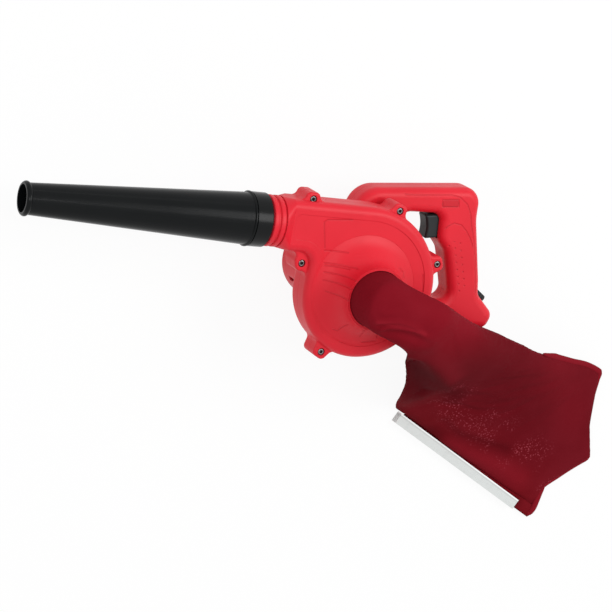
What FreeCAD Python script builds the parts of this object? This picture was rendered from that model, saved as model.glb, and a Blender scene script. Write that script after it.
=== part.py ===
import FreeCAD, Part
import Sketcher
import math
import os
import re

# Car dryer blower lying on its motor end, intake port up.
# Origin: fan axis at the flat end of the motor. Nozzle towards -X, handle towards +X and +Y.
# Millimetres and degrees throughout.

doc = FreeCAD.newDocument("car_dryer_blower")
sheet = doc.addObject("Spreadsheet::Sheet", "sizes")

driving = {
    # stack of housings along the fan axis, from the floor up
    "cap_height": 14, "motor_length": 69, "back_depth": 19, "front_depth": 19,
    "port_rise": 29, "lip_height": 4,
    # fan scroll: three arcs that open towards the outlet
    "scroll_radius": 75.05, "tail_radius": 66.75, "crown_radius": 83.75, "crown_angle": 29.5, "scroll_drop": 72.3,
    "scroll_beside": 2.55, "scroll_wall": 2.8, "rim_round": 8,
    "throat_round": 12, "panel_inset": 13, "panel_depth": 0.5, "panel_start": 2,
    # outlet: flat duct, then a round ribbed spigot
    "duct_half": 25.7, "duct_reach": 91, "blend_length": 9, "spigot_radius": 23.5, "spigot_length": 29,
    "spigot_wall": 2.5, "rib_count": 2, "rib_pitch": 7.2, "rib_height": 1.8, "rib_width": 5.2,
    # intake port, a little off the fan axis
    "lip_radius": 31.5, "lip_wall": 2.4, "flare_foot": 56, "port_x": -3, "port_y": -1.3,
    # screw ears round the scroll
    "ear_radius": 6.8, "ear_drop": 7, "ear_root": 11, "ear_base_half": 11, "ear_tip_half": 5.4,
    "ear_low": 88, "ear_join": 6, "ear_edge": 2.4,
    "screw_head_radius": 3.4, "screw_head_height": 2.4, "screw_radius": 1.8,
    "screw_length": 20, "screw_recess": 3.6, "screw_slack": 0.4,
    # motor housing and its end cap
    "motor_radius": 40, "motor_wall": 2.6, "flange_plate": 1.6, "vent_count": 12, "vent_width": 5, "vent_height": 17,
    "vent_start": 4, "cap_round": 5, "cap_floor": 2.8, "cap_skirt": 4, "cap_slot_count": 8, "cap_slot_width": 4,
    "cap_slot_length": 11, "cap_slot_radius": 19, "field_rib_width": 7,
    "cap_screw_circle": 35, "cap_screw_radius": 1.3, "cap_screw_length": 30, "cap_screw_head": 2.6,
    "cap_screw_sink": 0.6, "cap_screw_head_height": 1.8,
    # motor inside
    "field_radius": 32.5, "field_ring": 6, "field_bore": 20.3, "field_start": 33, "field_length": 29,
    "pole_half_angle": 48, "coil_overhang": 4,
    "armature_radius": 19.3, "winding_radius": 16.5, "winding_overhang": 4.5,
    "commutator_radius": 11, "commutator_length": 12, "commutator_start": 16,
    "shaft_radius": 4, "rear_journal": 3.5, "shaft_end": 5,
    "cooling_radius": 30, "cooling_height": 5, "cooling_blades": 12,
    "front_bearing_radius": 11, "front_bearing_width": 7, "rear_bearing_radius": 9.5,
    "rear_bearing_width": 6, "boot_wall": 1.5, "boss_wall": 2.8, "fit_gap": 0.04, "seat_gap": 0.1,
    "brush_length": 12, "brush_width": 6, "brush_height": 5, "holder_wall": 0.8, "brush_gap": 0.2,
    "brush_lift": 0.3, "brush_level": 22, "holder_start": 13, "pad_face": 36, "pad_width": 12, "spring_radius": 2,
    # fan wheel
    "wheel_radius": 57, "wheel_plate": 2, "wheel_lift": 3, "blade_height": 20, "blade_count": 8,
    "blade_thickness": 1.8, "blade_inner": 30, "blade_sweep": 34, "hub_radius": 11, "hub_height": 12,
    "nut_radius": 6.5, "nut_height": 5, "washer_radius": 9, "washer_height": 1.5, "thread_radius": 3,
    # handle, two half shells clamped round the motor housing
    "handle_middle": 64, "handle_half": 17, "handle_wall": 2.4, "handle_round": 9, "ring_wall": 4,
    "shoulder_height": 92.2, "arm_rear_height": 104.8, "arm_rear": 134,
    "arm_under": 72, "stem_rear": 47.5, "grip_top_rear": 135.5, "grip_low_rear": 152.5,
    "grip_top_front": 95, "grip_low_front": 122.5, "foot_reach": 177,
    "foot_bottom": -44, "boss_radius": 4.6, "handle_screw_length": 24, "pad_size": 10,
    "hole_round": 9, "hole_bottom": -16.5, "join_round": 10, "handle_screw_recess": 3.6,
    # trigger, switch and lock button
    "trigger_width": 18, "trigger_travel": 6, "trigger_angle": 8, "trigger_bottom": 45.5,
    "trigger_height": 25, "trigger_depth": 19.6, "trigger_front": 81.4, "trigger_hollow": 2.4, "trigger_slack": 0.4,
    "switch_length": 21, "switch_height": 28, "switch_width": 20, "switch_gap": 0.5, "plunger_radius": 2.5,
    "button_radius": 5, "button_proud": 3.5, "button_skirt": 1.4,
    "button_forward": 34, "button_up": 8,
    "capacitor_length": 14, "capacitor_height": 24, "capacitor_width": 16,
    # cord gland at the back of the foot
    "gland_root": 4.7, "gland_tip": 4.1, "gland_bore": 2.2, "gland_length": 22, "gland_angle": 33,
    "gland_flange": 6.5, "gland_flange_width": 2.5, "gland_x": 149, "gland_y": -3, "gland_inside": 8,
    "gland_seat": 7.5, "gland_grooves": 3,
    # cord clamp inside the grip
    "clamp_length": 26, "clamp_width": 7, "clamp_thick": 3, "clamp_x": 136.5, "clamp_y": 8, "clamp_level": 67,
    "clamp_post": 3.4, "clamp_pitch": 9.5, "clamp_screw": 1.4, "clamp_screw_length": 12, "clamp_head": 2.6,
    "clamp_head_height": 1.8,
    # nozzle and its twist collar
    "collar_radius": 26.6, "collar_length": 17, "collar_bevel": 1.8, "collar_web": 2.4,
    "collar_slack": 0.3, "sleeve_length": 20,
    "nozzle_length": 227.5, "nozzle_wall": 2.2, "nozzle_base": 25.6, "nozzle_tip": 14.8, "nozzle_rim": 27.1,
    "nozzle_seam": 0.8, "mouth_radius": 13.2, "mouth_length": 8, "bead_radius": 2.9,
    # bag connector, bag and rail
    "pipe_radius": 26.4, "pipe_wall": 2, "pipe_inset": 30, "pipe_rise": 6, "pipe_flange": 2.2,
    "cloth_gap": 0.3, "neck_radius": 28.4,
    "rail_length": 194, "rail_width": 12, "rail_height": 9, "rail_wall": 1.4, "rail_slot": 3,
    "rail_start_x": 129.3, "rail_start_y": -168.2, "rail_angle": -29.2,
    "hem_bead": 2.6, "hem_thick": 1.8, "hem_start": 4, "hem_over": 26, "hem_reach": 16,
    "bag_reach": 379, "bag_floor_gap": 0.6, "bag_points": 20, "bag_steps": 3,
}

derived = {
    "fan_back": "cap_height + motor_length",
    "parting": "fan_back + back_depth",
    "rim_top": "parting + front_depth",
    "port_base": "rim_top + port_rise",
    "lip_top": "port_base + lip_height",
    "scroll_centre": "scroll_radius - scroll_drop",
    "tail_centre": "tail_radius - scroll_drop",
    "crown_x": "scroll_beside - (crown_radius - scroll_radius) * cos(crown_angle)",
    "crown_y": "scroll_centre - (crown_radius - scroll_radius) * sin(crown_angle)",
    "scroll_top": "crown_y + crown_radius",
    "scroll_left": "tail_radius - scroll_beside",
    "outlet_y": "scroll_top - duct_half",
    "spigot_root": "duct_reach + blend_length",
    "spigot_end": "spigot_root + spigot_length",
    "ear_top": "rim_top - ear_drop",
    "screw_seat": "ear_top - screw_recess",
    "motor_bore": "motor_radius - motor_wall",
    "field_end": "field_start + field_length",
    "ring_radius": "motor_radius + seat_gap",
    "ring_outer": "ring_radius + ring_wall",
    "handle_far": "handle_middle - handle_half",
    "handle_near": "handle_middle + handle_half",
    "front_boss": "front_bearing_radius + seat_gap + boss_wall",
    "front_bearing_top": "fan_back - 1",
    "front_bearing_low": "front_bearing_top - front_bearing_width",
    "rear_seat": "rear_bearing_radius + boot_wall + seat_gap",
    "rear_bearing_low": "cap_floor + 2.2",
    "wheel_low": "fan_back + scroll_wall + wheel_lift",
    "hub_top": "wheel_low + hub_height",
    "nut_low": "hub_top + washer_height",
    "collar_end": "spigot_end + collar_web",
    "collar_start": "collar_end - collar_length",
    "nozzle_start": "collar_end + nozzle_seam",
    "nozzle_end": "nozzle_start + nozzle_length",
    "pipe_low": "lip_top - pipe_inset",
    "pipe_top": "lip_top + pipe_rise",
    "bag_start": "pipe_top + cloth_gap + 0.5",
}


def with_sheet(text):
    """Formula text whose words are aliases, as an expression on the sheet."""
    return re.sub(r"(?<![a-z_.])([a-z]+_[a-z_]+|parting)", r"sizes.\1", text)


row = 0
for alias, number in driving.items():
    row += 1
    sheet.set("A%d" % row, alias)
    sheet.set("B%d" % row, str(number))
    sheet.setAlias("B%d" % row, alias)
for alias, rule in derived.items():
    row += 1
    sheet.set("A%d" % row, alias)
    sheet.set("B%d" % row, "=" + rule)
    sheet.setAlias("B%d" % row, alias)
doc.recompute()


class Reader:
    """Reads a size from the sheet, for the pieces made by code."""
    def __getattr__(self, alias):
        return float(sheet.get(alias))


size = Reader()
parts = []


def point(x, y, z=0.0):
    return FreeCAD.Vector(x, y, z)


def keep(item, label):
    """Marks a document object as a finished sub-part."""
    item.Label = label
    parts.append(item)
    return item


def made(label, shape):
    """A sub-part whose shape is worked out by code from the sheet."""
    item = doc.addObject("Part::Feature", label)
    item.Shape = shape
    return keep(item, label)


def bind(item, **rules):
    """Binds properties to formulas on the sheet; place_x stands for Placement.Base.x."""
    for name, rule in rules.items():
        path = name.replace("place_", "Placement.Base.") if name.startswith("place_") else name
        item.setExpression(path, with_sheet(str(rule)))
    return item


def cylinder(name, radius, height, z="0", x="0", y="0"):
    item = doc.addObject("Part::Cylinder", name)
    return bind(item, Radius=radius, Height=height, place_x=x, place_y=y, place_z=z)


def box(name, length, width, height, x, y, z):
    item = doc.addObject("Part::Box", name)
    return bind(item, Length=length, Width=width, Height=height, place_x=x, place_y=y, place_z=z)


def cut(name, base, tool):
    item = doc.addObject("Part::Cut", name)
    item.Base = base
    item.Tool = tool
    return item


def fuse(name, shapes):
    item = doc.addObject("Part::MultiFuse", name)
    item.Shapes = shapes
    return item


def turned(label, outline):
    """Body turned about its own Z axis from an outline of (radius, height) formulas."""
    body = doc.addObject("PartDesign::Body", label)
    plane = [p for p in body.Origin.OriginFeatures if p.Role == "XZ_Plane"][0]
    sketch = body.newObject("Sketcher::SketchObject", label + "_outline")
    sketch.AttachmentSupport = (plane, [""])
    sketch.MapMode = "FlatFace"
    count = len(outline)
    rough = [point(10 + 3 * i, 5 * i) for i in range(count)]
    for i in range(count):
        sketch.addGeometry(Part.LineSegment(rough[i], rough[(i + 1) % count]), False)
    for i in range(count):
        sketch.addConstraint(Sketcher.Constraint("Coincident", i, 2, (i + 1) % count, 1))
    for i, (radius, height) in enumerate(outline):
        for kind, rule, start in (("DistanceX", radius, rough[i].x), ("DistanceY", height, rough[i].y)):
            index = sketch.addConstraint(Sketcher.Constraint(kind, -1, 1, i, 1, start))
            sketch.setExpression("Constraints[%d]" % index, with_sheet(str(rule)))
    turn = body.newObject("PartDesign::Revolution", label + "_turn")
    turn.Profile = sketch
    turn.ReferenceAxis = (sketch, ["V_Axis"])
    turn.Angle = 360
    body.Tip = turn
    return body


def tube(label, inner, outer, low, high):
    return turned(label, [(inner, low), (outer, low), (outer, high), (inner, high)])


def round_outline(corners):
    """Closed wire through (x, y, radius) corners, each rounded by a tangent arc."""
    count = len(corners)
    ends = []
    for i in range(count):
        x, y, radius = corners[i]
        here = point(x, y)
        before = point(*corners[i - 1][:2]).sub(here).normalize()
        after = point(*corners[(i + 1) % count][:2]).sub(here).normalize()
        opening = before.getAngle(after)
        reach = radius / math.tan(opening / 2)
        middle = before.add(after).normalize()
        tip = here.add(middle.multiply(radius / math.sin(opening / 2) - radius))
        ends.append((here.add(point(*before).multiply(reach)), tip, here.add(point(*after).multiply(reach))))
    edges = []
    for i in range(count):
        start, tip, end = ends[i]
        if corners[i][2] > 0:
            edges.append(Part.Arc(start, tip, end).toShape())
        edges.append(Part.LineSegment(end, ends[(i + 1) % count][0]).toShape())
    return Part.Wire(edges)


def prism(wire, low, high):
    """Solid between two heights over a flat wire drawn at height 0."""
    face = Part.Face(wire)
    face.translate(point(0, 0, low))
    return face.extrude(point(0, 0, high - low))


def rounded(solid, radius, height):
    """The solid with every edge at one height rounded."""
    edges = [e for e in solid.Edges if abs(e.BoundBox.ZMin - height) < 1e-6 and abs(e.BoundBox.ZMax - height) < 1e-6]
    return solid.makeFillet(radius, edges)


# Fan scroll and outlet, worked out once as a whole and then parted into cover and housing

def scroll_arcs():
    """Centre and radius of the tail, middle and crown arcs of the scroll."""
    return [(point(size.scroll_beside, size.tail_centre), size.tail_radius),
            (point(size.scroll_beside, size.scroll_centre), size.scroll_radius),
            (point(size.crown_x, size.crown_y), size.crown_radius)]


def arc_edge(centre, radius, first, last):
    """Arc about a centre between two angles in degrees."""
    spots = []
    for angle in (first, (first + last) / 2, last):
        turn = math.radians(angle)
        spots.append(point(centre.x + radius * math.cos(turn), centre.y + radius * math.sin(turn)))
    return Part.Arc(*spots).toShape()


def scroll_wire(inset, start):
    """Scroll with its duct, drawn in from the outer wall; start is the reach of the duct."""
    tail, middle, crown = scroll_arcs()
    top = size.scroll_top - inset
    left = inset - size.scroll_left
    low = size.outlet_y - size.duct_half + inset
    throat = size.throat_round + inset
    return Part.Wire([
        Part.LineSegment(point(-start, top), point(crown[0].x, top)).toShape(),
        arc_edge(crown[0], crown[1] - inset, 90, size.crown_angle),
        arc_edge(middle[0], middle[1] - inset, size.crown_angle, -90),
        arc_edge(tail[0], tail[1] - inset, 270, 180),
        Part.LineSegment(point(left, tail[0].y), point(left, low - throat)).toShape(),
        arc_edge(point(left - throat, low - throat), throat, 0, 90),
        Part.LineSegment(point(left - throat, low), point(-start, low)).toShape(),
        Part.LineSegment(point(-start, low), point(-start, top)).toShape()])


def duct_section(reach, half_width, half_depth, corner):
    """Rounded section across the duct, in a plane square to X."""
    flat = round_outline([(-half_width, -half_depth, corner), (half_width, -half_depth, corner),
                          (half_width, half_depth, corner), (-half_width, half_depth, corner)])
    flat.Placement = FreeCAD.Placement(point(-reach, size.outlet_y, size.parting),
                                       FreeCAD.Rotation(point(0, 1, 0), point(0, 0, 1), point(1, 0, 0), "XYZ"))
    return flat


def along_duct(radius, start, length):
    """Round bar on the outlet's axis, from a reach outwards."""
    return Part.makeCylinder(radius, length, point(-start, size.outlet_y, size.parting), point(-1, 0, 0))


def outlet(wall):
    """Blend from the flat duct to the round spigot; wall 0 gives its outside, else its bore."""
    nearly_round = 0.985
    end = size.spigot_radius + size.rib_height if wall == 0 else size.spigot_radius - size.spigot_wall
    flat = duct_section(size.duct_reach, size.duct_half - wall, size.front_depth - wall, size.rim_round - wall)
    ring = duct_section(size.spigot_root, end, end, end * nearly_round)
    blend = Part.makeLoft([flat, ring], True, True)
    bar = size.spigot_radius if wall == 0 else end - 0.1
    shape = blend.fuse(along_duct(bar, size.spigot_root - 0.5, size.spigot_length + 0.5 + wall))
    if wall == 0:
        for i in range(int(size.rib_count)):
            rib = along_duct(end, size.spigot_root + size.rib_pitch * i + 1, size.rib_width)
            rims = [e for e in rib.Edges if len(e.Vertexes) == 1]
            shape = shape.fuse(rib.makeFillet(size.rib_height * 0.8, rims))
    return shape


def port_form(wall):
    """Flare and lip of the intake port, turned about the port's axis; wall 0 gives its outside."""
    foot = size.rim_top - size.panel_depth
    across = size.flare_foot - size.lip_radius
    rise = size.port_base - foot
    flare = (across ** 2 + rise ** 2) / (2 * across)
    centre = point(size.lip_radius + flare, size.port_base)
    radius = flare + wall
    low = foot if wall == 0 else size.rim_top - size.scroll_wall - 0.2
    first = 180 + math.degrees(math.asin((centre.y - low) / radius))
    bend = arc_edge(centre, radius, first, 180)
    start = bend.Vertexes[0].Point
    end = bend.Vertexes[1].Point
    base = low - 1
    top = size.lip_top + wall
    corners = [end, point(end.x, top), point(0, top), point(0, base), point(start.x, base), start]
    edges = [Part.LineSegment(corners[i], corners[i + 1]).toShape() for i in range(len(corners) - 1)]
    face = Part.Face(Part.Wire([bend] + edges))
    face.rotate(point(0, 0, 0), point(1, 0, 0), 90)
    form = face.revolve(point(0, 0, 0), point(0, 0, 1), 360)
    form.translate(point(size.port_x, size.port_y))
    return form


def ear_places():
    """Centre and outward direction of each screw ear."""
    tail, middle, crown = scroll_arcs()
    places = []
    for (centre, radius), angle, offset in ((crown, 69.7, 3.2), (middle, 19.3, 5.4), (middle, -40, 5),
                                            (tail, 241.5, 5.7)):
        out = point(math.cos(math.radians(angle)), math.sin(math.radians(angle)))
        places.append((centre.add(point(out.x, out.y).multiply(radius + offset)), out))
    places.append((point(-size.duct_reach + 19.8, size.scroll_top + 1.5), point(0, 1)))
    places.append((point(-size.scroll_left - 6.8, size.outlet_y - size.duct_half - 11.6), point(-1, -0.3).normalize()))
    return places


def ear_outline(place, out):
    """Outline of one ear, from inside the scroll wall to its rounded tip."""
    along = point(-out.y, out.x)
    base = place.sub(point(out.x, out.y).multiply(size.ear_root))
    tip = place.add(point(out.x, out.y).multiply(size.ear_radius))
    corners = []
    for anchor, half, radius in ((base, size.ear_base_half, 0), (tip, -size.ear_radius, size.ear_tip_half)):
        for side in (1, -1):
            spot = anchor.add(point(along.x, along.y).multiply(side * half))
            corners.append((spot.x, spot.y, radius))
    return round_outline(corners)


def ear_plate():
    """All ears in one plate whose inner part lies within the scroll; its inner corners are filled round."""
    blank = prism(scroll_wire(0, size.duct_reach), 0, 1)
    ends = [e for e in blank.Edges if e.BoundBox.ZLength > 0.9 and abs(e.BoundBox.XMin + size.duct_reach) < 1e-3]
    blank = blank.makeFillet(size.ear_join + 1, ends)
    blank = blank.fuse([prism(ear_outline(place, out), 0, 1) for place, out in ear_places()]).removeSplitter()
    edge = [f for f in blank.Faces if f.BoundBox.ZMax < 1e-6][0].OuterWire
    edge = edge.makeOffset2D(size.ear_join).makeOffset2D(-size.ear_join)
    plate = rounded(prism(edge, size.ear_low, size.ear_top), size.ear_edge, size.ear_top)
    return rounded(plate, size.ear_edge, size.ear_low)


def between(low, high):
    """Large block between two heights, used to part the whole housing."""
    reach = 3 * size.duct_reach
    return Part.makeBox(2 * reach, 2 * reach, high - low, point(-reach, -reach, low))


def fan_shells():
    wall = size.scroll_wall
    outside = prism(scroll_wire(0, size.duct_reach), size.fan_back, size.rim_top)
    for height in (size.rim_top, size.fan_back):
        rims = [e for e in outside.Edges
                if abs(e.BoundBox.ZMin - height) < 1e-6 and abs(e.BoundBox.ZMax - height) < 1e-6
                and e.BoundBox.XMax > -size.duct_reach + 1e-3]
        outside = outside.makeFillet(size.rim_round, rims)
    panel = prism(scroll_wire(size.panel_inset, size.duct_reach - size.panel_start),
                  size.rim_top - size.panel_depth, size.rim_top + 1)
    corners = [e for e in panel.Edges if e.BoundBox.ZLength > 1
               and abs(e.BoundBox.XMax + size.duct_reach - size.panel_start) < 1e-3]
    panel = panel.makeFillet(size.throat_round / 2, corners)
    outside = outside.cut(panel).fuse([outlet(0), port_form(0), ear_plate()])
    hollow = prism(scroll_wire(wall, size.duct_reach), size.fan_back + wall, size.rim_top - wall)
    for height in (size.rim_top - wall, size.fan_back + wall):
        rims = [e for e in hollow.Edges
                if abs(e.BoundBox.ZMin - height) < 1e-6 and abs(e.BoundBox.ZMax - height) < 1e-6
                and e.BoundBox.XMax > -size.duct_reach + 1e-3]
        hollow = hollow.makeFillet(size.rim_round - wall, rims)
    hollow = hollow.fuse([outlet(wall), port_form(size.lip_wall)])
    whole = outside.cut(hollow)
    tools = [Part.makeCylinder(size.shaft_radius + 1, size.back_depth, point(0, 0, size.fan_back - 1))]
    for place, out in ear_places():
        low = size.screw_seat - size.screw_length - 1
        tools.append(Part.makeCylinder(size.screw_radius + size.fit_gap, size.parting - low,
                                       point(place.x, place.y, low)))
        tools.append(Part.makeCylinder(size.screw_radius + size.screw_slack / 2, size.ear_top - size.parting,
                                       point(place.x, place.y, size.parting)))
        tools.append(Part.makeCylinder(size.screw_head_radius + size.screw_slack, size.screw_recess + 1,
                                       point(place.x, place.y, size.screw_seat)))
    whole = whole.cut(tools)
    near = whole.common(between(size.parting, 2 * size.lip_top))
    port_room = Part.makeCylinder(size.flare_foot, 2 * size.lip_top,
                                  point(size.port_x, size.port_y, size.rim_top - wall - 1))
    port = near.common(port_room)
    far = whole.common(between(0, size.parting))
    return near.cut(port_room), port, far


def screw_set(label, radius, length, head_radius, head_height, places, sign):
    """Identical pan screws as one sub-part; sign is 1 where the shanks point up, -1 where they point down."""
    axis = point(0, 0, sign)
    shapes = []
    for x, y, seat in places:
        top = seat - sign * head_height
        head = rounded(Part.makeCylinder(head_radius, head_height, point(x, y, top), axis), head_height * 0.4, top)
        for a, b in ((head_radius, head_radius * 0.3), (head_radius * 0.3, head_radius)):
            head = head.cut(Part.makeBox(a, b, head_height, point(x - a / 2, y - b / 2, top - head_height / 2)))
        shapes.append(head.fuse(Part.makeCylinder(radius, length, point(x, y, seat), axis)))
    return made(label, Part.makeCompound(shapes))


near_shell, port_shell, far_shell = fan_shells()
made("fan_cover", near_shell)
made("intake_port", port_shell)
made("fan_housing", far_shell)
screw_set("cover_screws", size.screw_radius, size.screw_length, size.screw_head_radius, size.screw_head_height,
          [(place.x, place.y, size.screw_seat) for place, out in ear_places()], -1)


# Motor housing and end cap

def outward_box(name, inner, outer, width, low, high, angle):
    """Box reaching outwards from the fan axis at an angle."""
    item = doc.addObject("Part::Box", name)
    item.Placement = FreeCAD.Placement(point(0, 0, 0), FreeCAD.Rotation(point(0, 0, 1), angle))
    turn = "(%s) * %s(%g) %s (%s) / 2 * %s(%g)"
    return bind(item, Length="%s - (%s)" % (outer, inner), Width=width, Height="%s - (%s)" % (high, low),
                place_x=turn % (inner, "cos", angle, "+", width, "sin", angle),
                place_y=turn % (inner, "sin", angle, "-", width, "cos", angle), place_z=low)


def outward_pin(name, radius, circle, low, high, angle):
    """Upright cylinder on a circle about the fan axis."""
    return cylinder(name, radius, "%s - (%s)" % (high, low), low,
                    "(%s) * cos(%g)" % (circle, angle), "(%s) * sin(%g)" % (circle, angle))


corner_angles = [45, 135, 225, 315]
vent_angles = [i * 360 / size.vent_count for i in range(int(size.vent_count))]
vent_angles = [a for a in vent_angles if a not in (90, 180, 270)]

sleeve = tube("motor_sleeve", "motor_bore", "motor_radius", "cap_height", "fan_back")
ribs = [outward_box("motor_rib", "field_radius + seat_gap", "motor_bore + 1", "field_rib_width",
                    "cap_height + cap_skirt + 2", "field_end", a) for a in corner_angles]
pads = [outward_box("holder_pad", "pad_face", "motor_bore + 1", "pad_width", "cap_height + cap_skirt + 0.2",
                    "brush_level + 4", a) for a in (90, 270)]
vents = [outward_box("motor_vent", "motor_bore - 1", "motor_radius + 1", "vent_width",
                     "cap_height + vent_start", "cap_height + vent_start + vent_height", a) for a in vent_angles]
pilots = [outward_pin("motor_pilot", "cap_screw_radius + fit_gap", "cap_screw_circle",
                      "cap_height", "cap_screw_sink + cap_screw_length + 4", a) for a in corner_angles]
keep(cut("motor_cut", fuse("motor_solid", [sleeve] + ribs + pads), fuse("motor_openings", vents + pilots)),
     "motor_housing")

cap = turned("cap_bowl", [
    ("0", "0"), ("motor_radius", "0"), ("motor_radius", "cap_height"), ("motor_bore - seat_gap", "cap_height"),
    ("motor_bore - seat_gap", "cap_height + cap_skirt"), ("motor_bore - motor_wall", "cap_height + cap_skirt"),
    ("motor_bore - motor_wall", "cap_floor"), ("rear_seat + boss_wall", "cap_floor"),
    ("rear_seat + boss_wall", "rear_bearing_low + rear_bearing_width"),
    ("rear_seat", "rear_bearing_low + rear_bearing_width"), ("rear_seat", "rear_bearing_low"),
    ("rear_journal + 2", "rear_bearing_low"), ("rear_journal + 2", "cap_floor"), ("0", "cap_floor")])
doc.recompute()
cap_turn = cap.Tip
rim = ["Edge%d" % (i + 1) for i, e in enumerate(cap_turn.Shape.Edges)
       if abs(e.BoundBox.ZMax) < 1e-3 and e.BoundBox.XMax > size.motor_radius - 1e-3]
edge_round = cap.newObject("PartDesign::Fillet", "cap_edge")
edge_round.Base = (cap_turn, rim[:1])
bind(edge_round, Radius="cap_round")
cap.Tip = edge_round
cap_bosses = [outward_pin("cap_boss", "4.3", "cap_screw_circle", "cap_floor - 0.4", "cap_height", a)
              for a in corner_angles]
cap_bosses += [outward_pin("cap_post", "2.2", "cap_screw_circle", "cap_height - 1", "cap_height + cap_skirt + 2", a)
               for a in corner_angles]
cap_slots = [outward_box("cap_slot", "cap_slot_radius", "cap_slot_radius + cap_slot_length", "cap_slot_width",
                         "-1", "cap_floor + 1", i * 360 / size.cap_slot_count)
             for i in range(int(size.cap_slot_count))]
cap_slots += [outward_pin("cap_hole", "cap_screw_radius + screw_slack / 2", "cap_screw_circle", "-1",
                          "cap_height + cap_skirt + 3", a) for a in corner_angles]
cap_slots += [outward_pin("cap_sink", "cap_screw_head + screw_slack", "cap_screw_circle", "-1",
                          "cap_screw_sink + cap_screw_head_height", a) for a in corner_angles]
keep(cut("cap_cut", fuse("cap_solid", [cap] + cap_bosses), fuse("cap_openings", cap_slots)), "motor_end_cap")
cap_seat = size.cap_screw_sink + size.cap_screw_head_height
screw_set("end_cap_screws", size.cap_screw_radius, size.cap_screw_length, size.cap_screw_head,
          size.cap_screw_head_height,
          [(size.cap_screw_circle * math.cos(math.radians(a)), size.cap_screw_circle * math.sin(math.radians(a)),
            cap_seat) for a in corner_angles], 1)


# Motor parts that stand still

skirt_radius = "motor_bore - seat_gap"
bearing_seat = "front_bearing_radius + seat_gap"
keep(turned("motor_flange", [
    ("shaft_radius + 1", "front_bearing_top"), ("shaft_radius + 1", "fan_back"), (skirt_radius, "fan_back"),
    (skirt_radius, "fan_back - cap_skirt"), (skirt_radius + " - motor_wall", "fan_back - cap_skirt"),
    (skirt_radius + " - motor_wall", "fan_back - flange_plate"), ("front_boss", "fan_back - flange_plate"),
    ("front_boss", "front_bearing_low"), (bearing_seat, "front_bearing_low"), (bearing_seat, "front_bearing_top")]),
    "motor_flange")


def ball_bearing(label, inner, outer, low, width):
    """Closed bearing drawn as one ring with a groove round each face."""
    high = "(%s) + %s" % (low, width)
    near_in = "%s + 1.6" % inner
    near_out = "%s - 1.8" % outer
    return keep(turned(label, [
        (inner, low), (near_in, low), (near_in, low + " + 0.4"), (near_out, low + " + 0.4"), (near_out, low),
        (outer, low), (outer, high), (near_out, high), (near_out, high + " - 0.4"), (near_in, high + " - 0.4"),
        (near_in, high), (inner, high)]), label)


def sector(name, radius, low, high, start, sweep):
    """Slice of a cylinder about the fan axis."""
    item = cylinder(name, radius, "%s - (%s)" % (high, low), low)
    item.Placement = FreeCAD.Placement(point(0, 0, 0), FreeCAD.Rotation(point(0, 0, 1), start))
    return bind(item, Angle=sweep)


ball_bearing("front_bearing", "shaft_radius + fit_gap", "front_bearing_radius", "front_bearing_low",
             "front_bearing_width")
ball_bearing("rear_bearing", "rear_journal + fit_gap", "rear_bearing_radius", "rear_bearing_low",
             "rear_bearing_width")
keep(tube("rear_bearing_boot", "rear_bearing_radius + fit_gap", "rear_bearing_radius + boot_wall",
          "rear_bearing_low", "rear_bearing_low + rear_bearing_width"), "rear_bearing_boot")

window = "field_radius - field_ring"
half_angle = size.pole_half_angle
field_blank = cylinder("field_blank", "field_radius", "field_length", "field_start")
field_space = [cylinder("field_inside", "field_bore", "field_length", "field_start")]
field_space += [sector("field_window", window, "field_start", "field_end", a + half_angle, "180 - 2 * pole_half_angle")
                for a in (0, 180)]
keep(cut("field_cut", field_blank, fuse("field_spaces", field_space)), "field_core")

coils = []
for a in (0, 180):
    outer = sector("coil_outer", window + " - cloth_gap", "field_start - coil_overhang",
                   "field_end + coil_overhang", a - 88, "176")
    inner = cylinder("coil_inner", "field_bore + 0.5", "field_length + 2 * coil_overhang", "field_start - coil_overhang")
    pole = sector("coil_pole", "field_radius", "field_start", "field_end", a - half_angle, "2 * pole_half_angle")
    coils.append(cut("coil", outer, fuse("coil_space", [inner, pole])))
both_coils = doc.addObject("Part::Compound", "both_coils")
both_coils.Links = coils
keep(both_coils, "field_coils")

holders = []
brushes = []
springs = []
holder_width = "brush_width + 2 * brush_gap + 2 * holder_wall"
holder_height = "brush_height + 2 * brush_gap + 2 * holder_wall"
brush_end = "commutator_radius + brush_lift + brush_length"
for a in (90, 270):
    low = "brush_level - (%s) / 2" % holder_height
    high = "brush_level + (%s) / 2" % holder_height
    case = outward_box("holder_case", "holder_start", "pad_face", holder_width, low, high, a)
    room = outward_box("holder_room", "holder_start - 1", "pad_face - holder_wall", "brush_width + 2 * brush_gap",
                       low + " + holder_wall", high + " - holder_wall", a)
    holders.append(cut("holder", case, room))
    brushes.append(outward_box("brush", "commutator_radius + brush_lift", brush_end, "brush_width",
                               "brush_level - brush_height / 2", "brush_level + brush_height / 2", a))
    coil_spring = cut("spring", cylinder("spring_outer", "spring_radius", "pad_face - holder_wall - (%s)" % brush_end),
                      cylinder("spring_inner", "spring_radius - 0.6", "pad_face"))
    coil_spring.Placement = FreeCAD.Placement(point(0, 0, 0), FreeCAD.Rotation(point(1, 0, 0), -a))
    bind(coil_spring, place_y="(%s) * sin(%g)" % (brush_end, a), place_z="brush_level")
    springs.append(coil_spring)
for label, items in (("brush_holders", holders), ("carbon_brushes", brushes), ("brush_springs", springs)):
    group = doc.addObject("Part::Compound", label + "_both")
    group.Links = items
    keep(group, label)


# Rotor

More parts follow.
